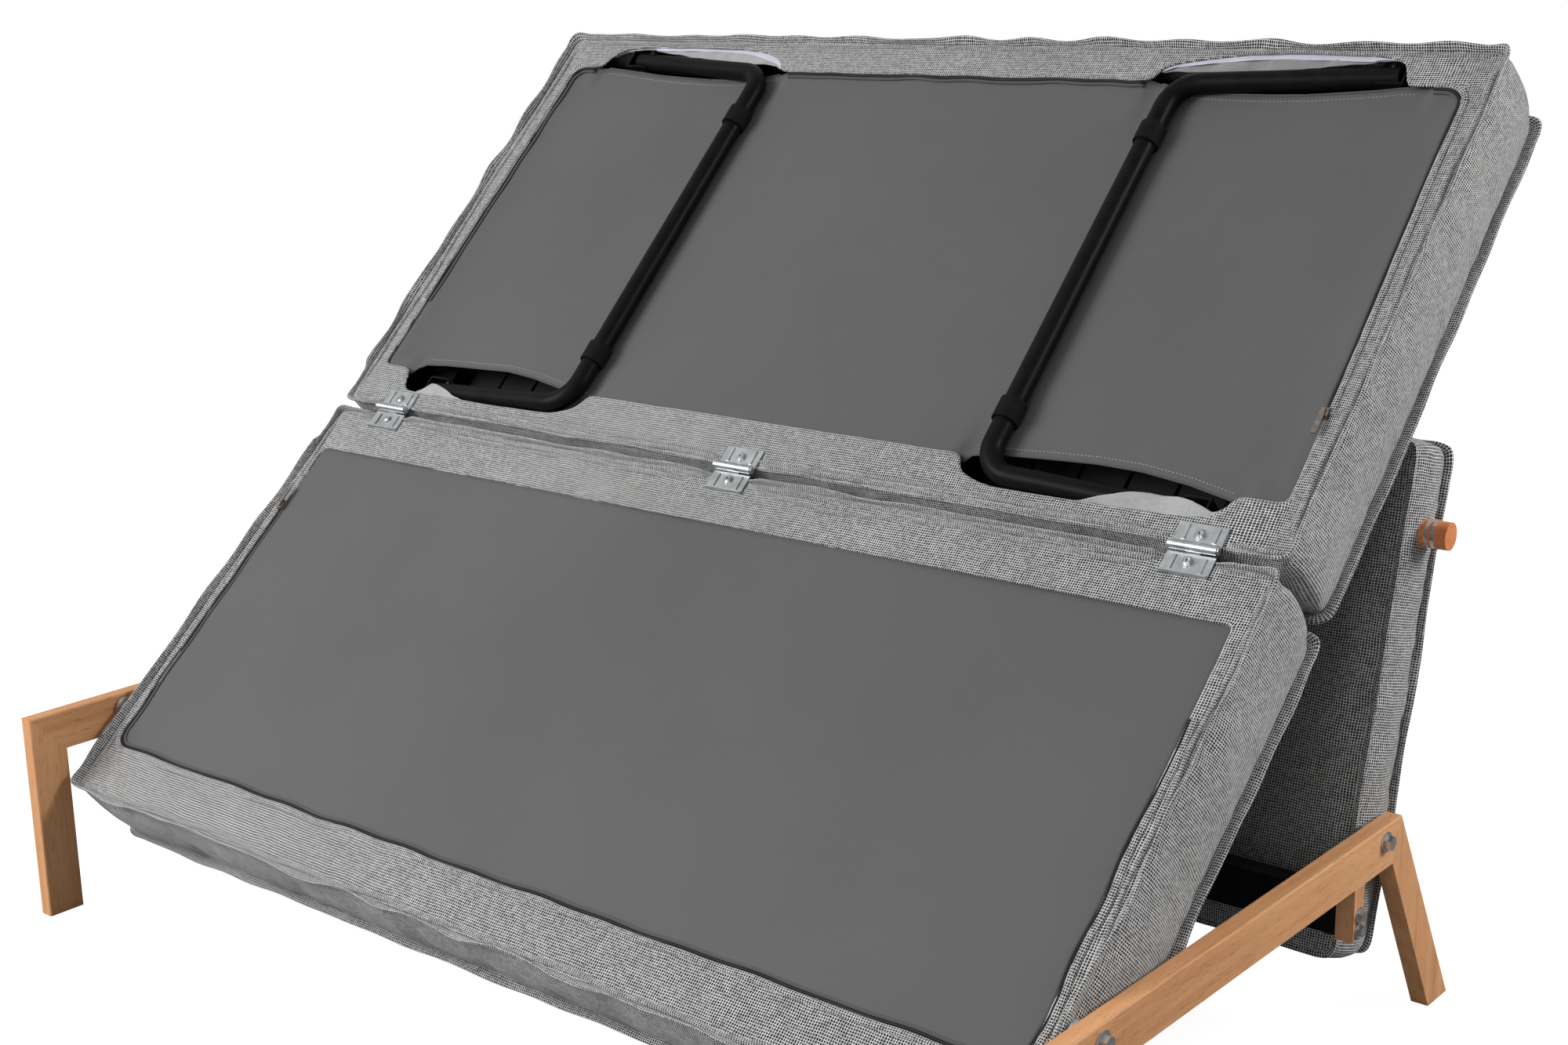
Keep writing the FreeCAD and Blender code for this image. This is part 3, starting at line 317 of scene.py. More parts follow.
M = {
    "check": check_fabric(),
    "lining": cloth_mat("lining_cloth", (0.112, 0.112, 0.115), (0.136, 0.136, 0.139), 0.86, 800.0),
    "hem": cloth_mat("hem_cloth", (0.085, 0.085, 0.088), (0.105, 0.105, 0.108), 0.86, 800.0),
    "felt": cloth_mat("black_felt", (0.006, 0.006, 0.007), (0.014, 0.014, 0.015), 0.95, 1500.0),
    "thinliner": cloth_mat("thin_liner", (0.36, 0.36, 0.37), (0.52, 0.52, 0.53), 0.8, 300.0, 0.0003, 25.0, 0.2, 0.5),
    "greyfelt": cloth_mat("grey_felt", (0.24, 0.24, 0.245), (0.36, 0.36, 0.365), 0.95, 1100.0, 0.0006, 40.0, 0.3, 0.6),
    "palefelt": cloth_mat("pale_felt", (0.36, 0.36, 0.36), (0.50, 0.50, 0.50), 0.95, 1100.0, 0.0006, 40.0, 0.3, 0.6),
    "liner": cloth_mat("white_liner", (0.54, 0.54, 0.66), (0.70, 0.70, 0.80), 0.6, 300.0, 0.0003, 20.0, 0.2, 0.5),
    "webbing": cloth_mat("webbing_strap", (0.008, 0.008, 0.009), (0.022, 0.022, 0.024), 0.85, 700.0, 0.0005, 30.0, 0.1, 0.6),
    "foam": cloth_mat("foam_wrap", (0.006, 0.006, 0.007), (0.016, 0.016, 0.017), 0.95, 900.0, 0.0004, 15.0, 0.1, 0.5),
    "powder": metal_mat("black_powder_coat", (0.004, 0.004, 0.0042), (0.008, 0.008, 0.0083), 0.0, 0.38, 0.48, 40.0, 1400.0, 0.00006, 0.09),
    "zinc": metal_mat("zinc_plate", (0.52, 0.53, 0.53), (0.70, 0.71, 0.71), 1.0, 0.22, 0.42, 90.0, 600.0),
    "hinge": metal_mat("pressed_zinc", (0.50, 0.53, 0.54), (0.68, 0.71, 0.72), 1.0, 0.24, 0.44, 70.0, 400.0),
    "rubber": metal_mat("black_moulding", (0.005, 0.005, 0.005), (0.010, 0.010, 0.010), 0.0, 0.6, 0.75, 80.0, 1800.0, 0.0001, 0.10),
    "plastic": metal_mat("nylon", (0.015, 0.015, 0.015), (0.025, 0.025, 0.025), 0.0, 0.45, 0.6, 80.0, 900.0),
    "zipmetal": metal_mat("zip_plating", (0.24, 0.20, 0.17), (0.44, 0.39, 0.34), 1.0, 0.2, 0.4, 200.0, 900.0),
    "ring": metal_mat("bright_ring", (0.72, 0.62, 0.56), (0.90, 0.84, 0.80), 0.75, 0.05, 0.14, 100.0, 400.0, 0.00004),
    "wood_y": wood_mat("beech_along_y", "y"),
    "wood_z": wood_mat("beech_along_z", "z"),
    "knob": wood_mat("turned_wood_grain", "x", ((0.64, 0.18, 0.065), (0.82, 0.28, 0.11), (0.94, 0.40, 0.17))),
    "thread": cloth_mat("stitch_thread", (0.30, 0.30, 0.31), (0.45, 0.45, 0.46), 0.8, 2500.0),
    "zipteeth": cloth_mat("zip_coil", (0.010, 0.010, 0.011), (0.03, 0.03, 0.032), 0.5, 1500.0, 0.0002, 30.0, 0.0),
}

NODE_MAT = {
    "left_front_leg": "wood_z", "right_front_leg": "wood_z", "left_rail": "wood_y", "right_rail": "wood_y",
    "left_rear_leg": "wood_z", "right_rear_leg": "wood_z", "left_stop_block": "wood_z", "right_stop_block": "wood_z",
    "stop_bar": "powder", "stop_bar_end_plates": "powder", "stop_bar_bolts": "zinc", "stop_bar_washers": "zinc",
    "front_pivot_bolts": "zinc", "rear_pivot_bolts": "zinc", "pivot_washers": "zinc", "pivot_spacers": "plastic",
    "pivot_nuts": "zinc", "backrest_frame": "powder", "backrest_webbing": "webbing", "backrest_pivot_ears": "zinc",
    "knobs": "knob", "knob_rings": "ring", "knob_studs": "zinc", "lower_panel_frame": "powder",
    "lower_panel_webbing": "webbing", "lower_pivot_ears": "zinc", "lower_hinge_leaves": "hinge",
    "lower_hinge_screws": "zinc", "lower_zip_slider": "zipmetal", "upper_panel_frame": "powder",
    "upper_panel_webbing": "webbing", "upper_hinge_leaves": "hinge", "upper_hinge_screws": "zinc",
    "hinge_pins": "zinc", "leg_brackets": "powder", "leg_pivot_pins": "zinc", "upper_zip_slider": "zipmetal",
    "left_leg_tube": "powder", "left_leg_sleeves": "rubber", "left_leg_caps": "rubber", "right_leg_tube": "powder",
    "right_leg_sleeves": "rubber", "right_leg_caps": "rubber",
    "lower_panel_cover": "check", "upper_panel_cover": "check", "backrest_cover": "check",
    "lower_panel_lining": "lining", "upper_panel_lining": "lining", "lower_panel_foam": "foam",
    "upper_panel_foam": "foam", "backrest_front_foam": "foam", "backrest_rear_foam": "foam",
}
for n, key in NODE_MAT.items():
    o = NODES[n]
    o.data.materials.clear()
    o.data.materials.append(M[key])


# ---------------------------------------------------------------- cushions
def lines(points, step):
    """Grid lines through the given points, about step apart."""
    out = [points[0]]
    for a, b in zip(points, points[1:]):
        k = max(1, int(round((b - a) / step)))
        out += [a + (b - a) * i / k for i in range(1, k + 1)]
    return np.array(out)


def round_corner(x, y, hx, ya, yb, r):
    """Pulls the corners of a rectangular grid in to a radius r."""
    yc, hy = (ya + yb) / 2, (yb - ya) / 2
    X, Y = np.abs(x), np.abs(y - yc)
    dx, dy = np.clip(X - (hx - r), 0, r), np.clip(Y - (hy - r), 0, r)
    nx = dx * np.sqrt(1 - (dy / r) ** 2 / 2)
    ny = dy * np.sqrt(1 - (dx / r) ** 2 / 2)
    X = np.where(dx > 0, (hx - r) + nx, X)
    Y = np.where(dy > 0, (hy - r) + ny, Y)
    return np.sign(x) * X, yc + np.sign(y - yc) * Y


class Shell:
    """A boxed cushion cover: an underside grid, a topside grid and a boxing strip between two seam rings."""

    def __init__(self, name, half, ua, ub, ta, tb, z0, z1, xs, ys, nz, r=8.0, hole=None, reshape=None,
                 bulge=7.0, crown=12.0, half_top=None):
        self.name = name
        nx, ny = len(xs) - 1, len(ys) - 1
        half_top = half if half_top is None else half_top
        X, Y = np.meshgrid(xs, ys, indexing="ij")
        t = (Y - ys[0]) / (ys[-1] - ys[0])
        ux, uy = X * half / xs[-1], ua + t * (ub - ua)
        if reshape is not None:
            uy = reshape(ux, Y)
        ux, uy = round_corner(ux, uy, half, ua, ub, r)
        tx, ty = round_corner(X * half_top / xs[-1], ta + t * (tb - ta), half_top, ta, tb, r)
        fx, fy = np.abs(X) / xs[-1], np.abs(2 * t - 1)
        dome = (1 - fx ** 6) * (1 - fy ** 4)
        uz = np.full_like(ux, z0)
        tz = z1 - crown * dome
        per = [(i, 0) for i in range(nx)] + [(nx, j) for j in range(ny)] + \
              [(i, ny) for i in range(nx, 0, -1)] + [(0, j) for j in range(ny, 0, -1)]
        P = len(per)
        verts = []
        uid = np.arange((nx + 1) * (ny + 1)).reshape(nx + 1, ny + 1)
        verts += list(zip(ux.ravel(), uy.ravel(), uz.ravel()))
        tid = uid + len(verts)
        verts += list(zip(tx.ravel(), ty.ravel(), tz.ravel()))
        under = np.array([[ux[i, j], uy[i, j], uz[i, j]] for i, j in per])
        top = np.array([[tx[i, j], ty[i, j], tz[i, j]] for i, j in per])
        self.under_ring, self.top_ring = under, top
        ids = [[uid[i, j] for i, j in per]]
        tang = np.roll(under, -1, 0) - np.roll(under, 1, 0)
        out = np.stack([tang[:, 1], -tang[:, 0], 0 * tang[:, 0]], 1)
        out /= np.linalg.norm(out, axis=1)[:, None]
        self.out = out
        for k in range(1, nz):
            f = k / nz
            ring = under * (1 - f) + top * f + out * bulge * math.sin(math.pi * f) ** 0.8
            ids.append(list(range(len(verts), len(verts) + P)))
            verts += [tuple(p) for p in ring]
        ids.append([tid[i, j] for i, j in per])
        s = np.concatenate([[0], np.cumsum(np.linalg.norm(np.diff(np.vstack([under, under[:1]]), axis=0), axis=1))])
        zz = [z0 + (z1 - z0) * k / nz for k in range(nz + 1)]
        faces, uv, kind = [], [], []
        for i in range(nx):
            for j in range(ny):
                if hole is not None:
                    a, b, c, d = hole
                    if a - 1e-6 <= xs[i] and xs[i + 1] <= b + 1e-6 and c - 1e-6 <= ys[j] and ys[j + 1] <= d + 1e-6:
                        continue
                q = [(i, j), (i + 1, j), (i + 1, j + 1), (i, j + 1)]
                faces.append([uid[p] for p in q])
                uv.append([(ux[p], uy[p]) for p in q])
                kind.append(0)
        for i in range(nx):
            for j in range(ny):
                q = [(i, j), (i, j + 1), (i + 1, j + 1), (i + 1, j)]
                faces.append([tid[p] for p in q])
                uv.append([(tx[p], ty[p]) for p in q])
                kind.append(1)
        for k in range(nz):
            for p in range(P):
                n = (p + 1) % P
                faces.append([ids[k][p], ids[k + 1][p], ids[k + 1][n], ids[k][n]])
                uv.append([(s[p], zz[k]), (s[p], zz[k + 1]), (s[p + 1], zz[k + 1]), (s[p + 1], zz[k])])
                kind.append(2)
        used = np.zeros(len(verts), bool)
        for f in faces:
            used[f] = True
        remap = np.cumsum(used) - 1
        verts = [v for v, k in zip(verts, used) if k]
        faces = [[int(remap[i]) for i in f] for f in faces]
        self.obj = make(name, verts, faces, uv, mats=(M["check"],))
        self.pins = set()
        for f, k in zip(faces, kind):
            if k == 0:
                self.pins.update(f)
        self.pins.update(int(remap[i]) for i in ids[0])
        self.pins.update(int(remap[i]) for i in ids[-1])
        seam = set()
        for row in (ids[0], ids[-1]):
            for p in range(P):
                seam.add(frozenset((int(remap[row[p]]), int(remap[row[(p + 1) % P]]))))
        self.seam = seam

    def puff(self, pressure, cap, grow=0.012, frames=18):
        """Lets the loose cloth between the seams fill out under pressure, then keeps the result."""
        o = self.obj
        rest = co(o).copy()
        set_co(o, rest * MM)
        g = o.vertex_groups.new(name="sewn")
        g.add(sorted(self.pins), 1.0, "REPLACE")
        m = o.modifiers.new("cloth", "CLOTH")
        st = m.settings
        st.quality = 4
        st.mass = 0.25
        st.tension_stiffness = st.compression_stiffness = 14
        st.shear_stiffness = 6
        st.bending_stiffness = 0.6
        st.use_pressure = True
        st.uniform_pressure_force = pressure
        st.vertex_group_mass = "sewn"
        st.pin_stiffness = 1.0
        st.shrink_min = -grow
        st.effector_weights.gravity = 0.0
        m.collision_settings.use_collision = False
        m.point_cache.frame_start, m.point_cache.frame_end = 1, frames
        for f in range(1, frames + 1):
            scene.frame_set(f)
        dg = bpy.context.evaluated_depsgraph_get()
        ev = o.evaluated_get(dg)
        a = np.empty(len(ev.data.vertices) * 3)
        ev.data.vertices.foreach_get("co", a)
        a = a.reshape(-1, 3) / MM
        o.modifiers.clear()
        scene.frame_set(1)
        move = a - rest
        move[~np.isfinite(move).all(1)] = 0
        dist = np.linalg.norm(move, axis=1)
        scale = np.where(dist > cap, cap / np.maximum(dist, 1e-6), 1.0)
        set_co(o, rest + move * scale[:, None])

    def refine(self, solid=None, levels=1):
        """Keeps the seams crisp, subdivides and gives the cloth its thickness."""
        o = self.obj
        me = o.data
        attr = me.attributes.new("crease_edge", "FLOAT", "EDGE")
        pairs = np.empty(len(me.edges) * 2, np.int32)
        me.edges.foreach_get("vertices", pairs)
        pairs = pairs.reshape(-1, 2)
        attr.data.foreach_set("value", [1.0 if frozenset((int(a), int(b))) in self.seam else 0.0 for a, b in pairs])
        sub = o.modifiers.new("sub", "SUBSURF")
        sub.levels = sub.render_levels = levels
        sub.subdivision_type = "CATMULL_CLARK"
        sub.boundary_smooth = "PRESERVE_CORNERS"
        bake(o)
        if solid:
            s = o.modifiers.new("thick", "SOLIDIFY")
            s.thickness = solid
            s.offset = -1
            s.use_even_offset = False
            bake(o)
        return o


def pucker(o, ring_z, top_z, half, ya, yb, seed, amp=1.5):
    """Small gathers that run away from the two seams of the boxing and fade out."""
    a = co(o)
    w1, w2, w3 = waves(seed, 7, 24, 70), waves(seed + 1, 7, 28, 80), waves(seed + 2, 5, 150, 420)
    x, y, z = a.T
    on_x = np.abs(np.abs(x) - half) < np.minimum(np.abs(y - ya), np.abs(y - yb))
    s = np.where(on_x, y + np.sign(x) * 3000, x + np.sign(y - (ya + yb) / 2) * 7000)
    d0, d1 = np.abs(z - ring_z), np.abs(z - top_z)
    edge = np.where(on_x, half - np.abs(x), np.minimum(y - ya, yb - y))
    side = smooth(-26, -2, -np.abs(edge - 0)) * smooth(1, 6, np.minimum(d0, d1) + 1.0)
    f = amp * (w1(s) * np.exp(-d1 / 22) + w2(s) * np.exp(-d0 / 18)) * side
    f = f + 1.6 * w3(s) * smooth(2, 30, np.minimum(d0, d1)) * side
    nx = np.where(on_x, np.sign(x), 0)
    ny = np.where(on_x, 0, np.sign(y - (ya + yb) / 2))
    a[:, 0] += f * nx
    a[:, 1] += f * ny
    # gathers on the sleeping side
    deep = smooth(4, 14, np.abs(z - ring_z) - abs(top_z - ring_z) + 6)
    rim = np.exp(-np.clip(edge, 0, None) / 45)
    a[:, 2] += deep * rim * 1.4 * w1(s + 400) * smooth(0, 9, edge)
    set_co(o, a)


SECTION = np.array([(-4.0, 1.3), (0.0, 1.3), (0.26, 1.7), (0.58, 2.35), (0.83, 2.2), (0.96, 1.2), (1.0, 0.0),
                    (0.96, -1.2), (0.83, -2.2), (0.58, -2.35), (0.26, -1.7), (0.0, -1.3), (-4.0, -1.3)])


def resample(ring, out, step):
    closed = np.vstack([ring, ring[:1]])
    oc = np.vstack([out, out[:1]])
    s = np.concatenate([[0], np.cumsum(np.linalg.norm(np.diff(closed, axis=0), axis=1))])
    n = int(s[-1] / step)
    t = np.linspace(0, s[-1], n, endpoint=False)
    p = np.stack([np.interp(t, s, closed[:, k]) for k in range(3)], 1)
    o = np.stack([np.interp(t, s, oc[:, k]) for k in range(3)], 1)
    o /= np.maximum(np.linalg.norm(o, axis=1), 1e-6)[:, None]
    return p, o, t, s[-1]


def flange(name, panel, ring, out, width, thick, tilt, seed, wave_t=7.0, wave_w=0.07, wave_n=0.9, scale=None, ear=0.8, step=6.0):
    """The sewn edge that stands proud of a seam: two layers of cloth with a soft rounded rim, waving a little."""
    p, o, t, total = resample(ring, out, step)
    k = 2 * math.pi / total

    def periodic(seed_, lo, hi):
        r = random.Random(seed_)
        parts = [(r.randint(max(1, int(total / hi)), int(total / lo)), r.uniform(0, 6.28), r.uniform(0.4, 1)) for _ in range(8)]
        norm = math.sqrt(sum(q[2] ** 2 for q in parts)) * 1.05
        return sum(a * np.sin(n * k * t + ph) for n, ph, a in parts) / norm

    ang = np.radians(tilt + wave_t * periodic(seed, 160, 900))
    wid = width * (1 + wave_w * periodic(seed + 1, 90, 700))
    lift = wave_n * periodic(seed + 2, 80, 400)
    if scale is not None:
        sc = scale(p)
        wid = wid * sc
        lift = lift * sc
    hx, y0_, y1_ = np.abs(p[:, 0]).max(), p[:, 1].min(), p[:, 1].max()
    away = np.hypot(hx - np.abs(p[:, 0]), np.minimum(p[:, 1] - y0_, y1_ - p[:, 1]))
    wid = wid * (1 + ear * np.exp(-(away / 13.0) ** 2))
    N = np.array([0, 0, 1.0])
    rows = []
    for a, b in SECTION:
        dist = (a if a < 0 else 0) + (wid * a if a > 0 else 0)
        dist = dist * np.ones(len(p))
        d = o * np.cos(ang)[:, None] + N * np.sin(ang)[:, None]
        e = -o * np.sin(ang)[:, None] + N * np.cos(ang)[:, None]
        curl = lift * np.clip(dist / max(width, 1), 0, 1) ** 1.5
        rows.append(p + d * dist[:, None] + e * (b * thick + curl)[:, None])
    rows = np.array(rows)
    m, n = rows.shape[:2]
    verts = rows.reshape(-1, 3)
    faces, uv = [], []
    arc = np.concatenate([[0], np.cumsum(np.linalg.norm(np.diff(rows[:, 0], axis=0), axis=1))])
    arc = np.append(arc, arc[-1] + 2)
    for i in range(m):
        for j in range(n):
            a, b = (i + 1) % m, (j + 1) % n
            faces.append([i * n + j, a * n + j, a * n + b, i * n + b])
            t0, t1 = t[j], t[j] + total / n
            uv.append([(t0, arc[i]), (t0, arc[i + 1]), (t1, arc[i + 1]), (t1, arc[i])])
    o_ = make(name, verts, faces, uv, mats=(M["check"],))
    sub = o_.modifiers.new("sub", "SUBSURF")
    sub.levels = sub.render_levels = 1
    bake(o_)
    place(o_, panel)
    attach(o_, BODY[panel])
    return o_


def ribbon(name, panel, path, across, section, mat, closed=False, uv=False):
    """A strip or cord of the given section, swept along a path in the panel's axes. section is points (across, up)."""
    path = np.asarray(path, float)
    across = np.asarray(across, float)
    N = np.array([0, 0, 1.0])
    rows = np.array([path + across * a + N * b for a, b in section])
    m, n = rows.shape[:2]
    faces, uvs = [], []
    s = np.concatenate([[0], np.cumsum(np.linalg.norm(np.diff(path, axis=0), axis=1))])
    for i in range(m):
        a = (i + 1) % m
        for j in range(n if closed else n - 1):
            b = (j + 1) % n
            faces.append([i * n + j, i * n + b, a * n + b, a * n + j])
            sb = s[b] if b > j else s[j] + 5
            uvs.append([(s[j], i * 2.0), (sb, i * 2.0), (sb, i * 2.0 + 2), (s[j], i * 2.0 + 2)])
    if not closed:
        faces.append([i * n for i in range(m)])
        uvs.append([(0, 0)] * m)
        faces.append([i * n + n - 1 for i in range(m)][::-1])
        uvs.append([(0, 0)] * m)
    o = make(name, rows.reshape(-1, 3), faces, uvs if uv else None, mats=(mat,))
    place(o, panel)
    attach(o, BODY[panel])
    return o


def circle(r, n=8, a0=0.0, b0=0.0):
    return [(a0 + r * math.cos(2 * math.pi * i / n), b0 + r * math.sin(2 * math.pi * i / n)) for i in range(n)]


def near_hinge(x):
    d = np.min([np.abs(np.abs(x) - 595), np.abs(x)], axis=0)
    return smooth(27, 46, d)


# ---- lower panel
xs = lines([-695, -672, 672, 695], 14.0)
ys = lines([10, 76, 551, 615], 14.0)
lower = Shell("lower_cushion", 692, 12, 613, 16, 609, 0.0, -110.0, xs, ys, 8, hole=(-672, 672, 76, 551), crown=9)
a = co(lower.obj)
side = np.clip(np.where(a[:, 0] < -671, (692 + a[:, 0]) / 20, (-640 - a[:, 0]) / 32), 0, 1)
a[:, 0] -= np.where((np.abs(a[:, 2]) < 1e-3) & (a[:, 0] < 0), 8.0 * side, 0.0)
set_co(lower.obj, a)
# ---- upper panel, with four slots where the border's edge is drawn away from the lining


EDGE = {("low", 1): [(283, 68), (287, 50), (296, 44), (308, 40), (320, 36), (338, 33.5), (400, 33), (500, 34), (570, 36), (596, 40), (606, 52), (614, 68)],
        ("low", -1): [(283, 68), (288, 52), (298, 45), (310, 39.5), (322, 36), (338, 33.5), (420, 32), (560, 32), (600, 34), (609, 42), (614, 68)],
        ("high", 1): [(283, 602), (286, 619), (301, 628), (342, 636), (380, 642), (410, 647), (432, 649), (494, 648), (530, 645), (560, 642), (576, 639), (584, 632), (589, 618), (592, 606), (596, 602)],
        ("high", -1): [(283, 602), (287, 612), (301, 626), (328, 635), (370, 639), (460, 641), (552, 640), (588, 635), (603, 624), (609, 612), (614, 602)]}
HEM = {("low", 1): [(283, 66), (289, 74), (320, 79), (380, 83), (440, 86), (495, 85), (552, 78), (600, 68), (614, 63)],
       ("low", -1): [(283, 64), (300, 68), (347, 78), (402, 87), (450, 91), (520, 88), (563, 86), (600, 82), (614, 72)],
       ("high", 1): [(283, 606), (300, 602), (325, 596), (360, 593), (400, 592), (440, 592.5), (480, 594), (520, 598), (560, 602), (585, 606), (614, 607)],
       ("high", -1): [(283, 606), (300, 602), (320, 597), (350, 593), (407, 592), (454, 594), (502, 597), (537, 601), (573, 605), (600, 607), (614, 607)]}


def profile(table, where, x):
    x = np.asarray(x, float)
    out = np.zeros_like(x)
    for sign in (1, -1):
        px, pv = np.array(table[(where, sign)], float).T
        out = np.where(x * sign > 0, np.interp(np.abs(x), px, pv), out)
    return out


def slot_edges(x, y):
    lo_, hi_ = profile(EDGE, "low", x), profile(EDGE, "high", x)
    lo_, hi_ = np.where(np.abs(x) < 283, 68, lo_), np.where(np.abs(x) < 283, 602, hi_)
    return np.where(y <= 68.001, 7 + (y - 5) / 63 * (lo_ - 7), np.where(y >= 601.999, 652 - (654 - y) / 52 * (652 - hi_), y))


xs_u = lines([-695, -658, -618, -613, -608, -600, -300, -292, -287, -282, 282, 287, 292, 300, 575, 583, 589, 595, 600, 608, 613, 618, 658, 695], 12.0)
ys_u = lines([5, 68, 602, 654], 14.0)
upper = Shell("upper_cushion", 692, 7, 652, 11, 648, 0.0, -110.0, xs_u, ys_u, 8, hole=(-658, 658, 68, 602),
              reshape=slot_edges, crown=9)
a = co(upper.obj)
lean = 12.0 - 6.0 * smooth(150, 600, a[:, 1])
side = np.clip(np.where(np.abs(a[:, 0]) > 656, (692 - np.abs(a[:, 0])) / 36, (np.abs(a[:, 0]) - 620) / 36), 0, 1)
a[:, 0] += np.where(np.abs(a[:, 2]) < 1e-3, np.sign(a[:, 0]) * lean * side, 0.0)
set_co(upper.obj, a)
xs_b = lines([-695, 695], 15.0)
ys_b = lines([0, 560], 15.0)
back = Shell("back_cushion", 691, 9, 551, 9, 551, -4.0, -86.0, xs_b, ys_b, 7, bulge=10.0, crown=9)
# the backrest's front is padded too
a = co(back.obj)
front = np.abs(a[:, 2] + 4.0) < 1e-3
fx, fy = np.abs(a[:, 0]) / 691, np.abs(a[:, 1] - 280) / 271
a[front, 2] += (6.0 * (1 - fx ** 6) * (1 - fy ** 4))[front]
set_co(back.obj, a)
back.pins = set(int(i) for i in np.where((np.abs(a[:, 2] + 4.0) < 1e-3) | (np.abs(a[:, 2] + 86.0) < 1e-3))[0])

lower.puff(3.0, 14)
upper.puff(3.0, 14)
back.puff(2.4, 8)
lower.refine(2.0)
upper.refine(2.0)
back.refine()
pucker(lower.obj, 0, -110, 695, 10, 615, 11)
pucker(upper.obj, 0, -110, 695, 5, 654, 21)
pucker(back.obj, -4, -86, 695, 2, 558, 31)
for shell, panel, fill, gone in ((lower, "lower", 0.75, ("lower_panel_cover", "lower_panel_foam")),
                                 (upper, "upper", 0.75, ("upper_panel_cover",)),
                                 (back, "back", 0.8, ("backrest_cover", "backrest_front_foam", "backrest_rear_foam"))):
    o = shell.obj
    place(o, panel)
    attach(o, BODY[panel])
    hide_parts(*gone)

# ---- sewn edges
flange("lower_top_flange", "lower", lower.top_ring, lower.out, 12.0, 1.0, 0.0, 101, ear=0.25)
flange("lower_under_flange", "lower", lower.under_ring, lower.out, 9.5, 0.75, 62.0, 111, 16, 0.20, 2.2,
       scale=lambda p: np.where(p[:, 1] > 560, 0.12 + 0.46 * near_hinge(p[:, 0]), 1.0))
flange("upper_top_flange", "upper", upper.top_ring, upper.out, 12.0, 1.0, 0.0, 121, ear=0.25)
flange("upper_under_flange", "upper", upper.under_ring, upper.out, 9.5, 0.75, 62.0, 131, 16, 0.20, 2.2,
       scale=lambda p: np.where(p[:, 1] < 60, 0.12 + 0.46 * near_hinge(p[:, 0]), 1.0))
flange("back_rear_flange", "back", back.top_ring, back.out, 9.0, 1.0, -8.0, 141, 14.0, 0.15, 1.6, ear=0.15)
flange("back_front_flange", "back", back.under_ring, back.out, 5.0, 0.6, 12.0, 151, 6.0, 0.10, 0.7, ear=0.2)


# ---- soft folds of the covers along the hinge line
def fold_line(name, panel, x0, x1, y, seed, w=3.4, h=3.0, drift=1.6):
    x = np.arange(x0, x1 + 0.01, 5.0)
    w_ = waves(seed, 5, 120, 600)
    ends = np.minimum(smooth(0, 18, x - x0), smooth(0, 18, x1 - x))
    path = np.column_stack([x, y(x) + drift * w_(x) * ends, -2.2 + 2.2 * ends])
    tan = np.gradient(path, axis=0)
    tan[:, 2] = 0
    tan /= np.linalg.norm(tan, axis=1)[:, None]
    side = np.column_stack([-tan[:, 1], tan[:, 0], 0 * x])
    section = [(w * math.cos(q_), h * max(math.sin(q_), -0.3)) for q_ in np.linspace(0, 2 * math.pi, 17)[:-1]]
    ribbon(name, panel, path, side, section, M["check"], uv=True)


for k, (xa, xb) in enumerate(((-686, -626), (-563, -31), (31, 563), (626, 686))):
    fold_line("upper_hinge_fold_%d" % k, "upper", xa, xb, lambda x: 12.5 + 0 * x, 401 + k)
    fold_line("lower_hinge_fold_%d" % k, "lower", xa, xb, lambda x: 607.5 + 0 * x, 411 + k)
fold_line("lower_hinge_sag", "lower", 45, 545, lambda x: 600.5 - 7.5 * np.exp(-((x - 170) / 75.0) ** 2) - 1.5 * (x > 400), 421, 3.0, 2.6, 1.2)
fold_line("lower_hinge_crease", "lower", -540, -60, lambda x: 600.5 + 0 * x, 422, 2.6, 1.8, 1.2)
fold_line("upper_hinge_crease", "upper", -540, 540, lambda x: 20.0 - 2.0 * (np.abs(x) < 40), 423, 2.4, 1.4, 1.4)


# ---- a second, softer fold runs inside each side seam
def side_fold(name, panel, sign, x_in, y0, y1, seed, w=3.6, h=2.8, drift=2.2):
    y = np.arange(y0, y1 + 0.01, 5.0)
    w_, v_ = waves(seed, 6, 70, 380), waves(seed + 1, 5, 90, 500)
    ends = np.minimum(smooth(0, 26, y - y0), smooth(0, 26, y1 - y))
    x = sign * (x_in + drift * w_(y) * ends)
    path = np.column_stack([x, y, -2.4 + (2.3 + 0.7 * v_(y)) * ends])
    tan = np.gradient(path, axis=0)
    tan[:, 2] = 0
    tan /= np.linalg.norm(tan, axis=1)[:, None]
    side_ = np.column_stack([-tan[:, 1], tan[:, 0], 0 * y])
    section = [(w * math.cos(q_), h * max(math.sin(q_), -0.3)) for q_ in np.linspace(0, 2 * math.pi, 17)[:-1]]
    ribbon(name, panel, path, side_, section, M["check"], uv=True)


for sign, word in ((-1, "left"), (1, "right")):
    side_fold("upper_side_fold_" + word, "upper", sign, 685.5, 30, 636, 431 + sign)
    side_fold("lower_side_fold_" + word, "lower", sign, 686.0, 26, 598, 441 + sign, 3.0, 2.4, 1.6)
fold_line("lower_front_fold", "lower", -680, 680, lambda x: 17.5 + 0 * x, 451, 3.2, 2.6, 2.2)
fold_line("upper_far_fold", "upper", -680, 680, lambda x: 646.5 + 0 * x, 453, 3.0, 2.4, 1.6)


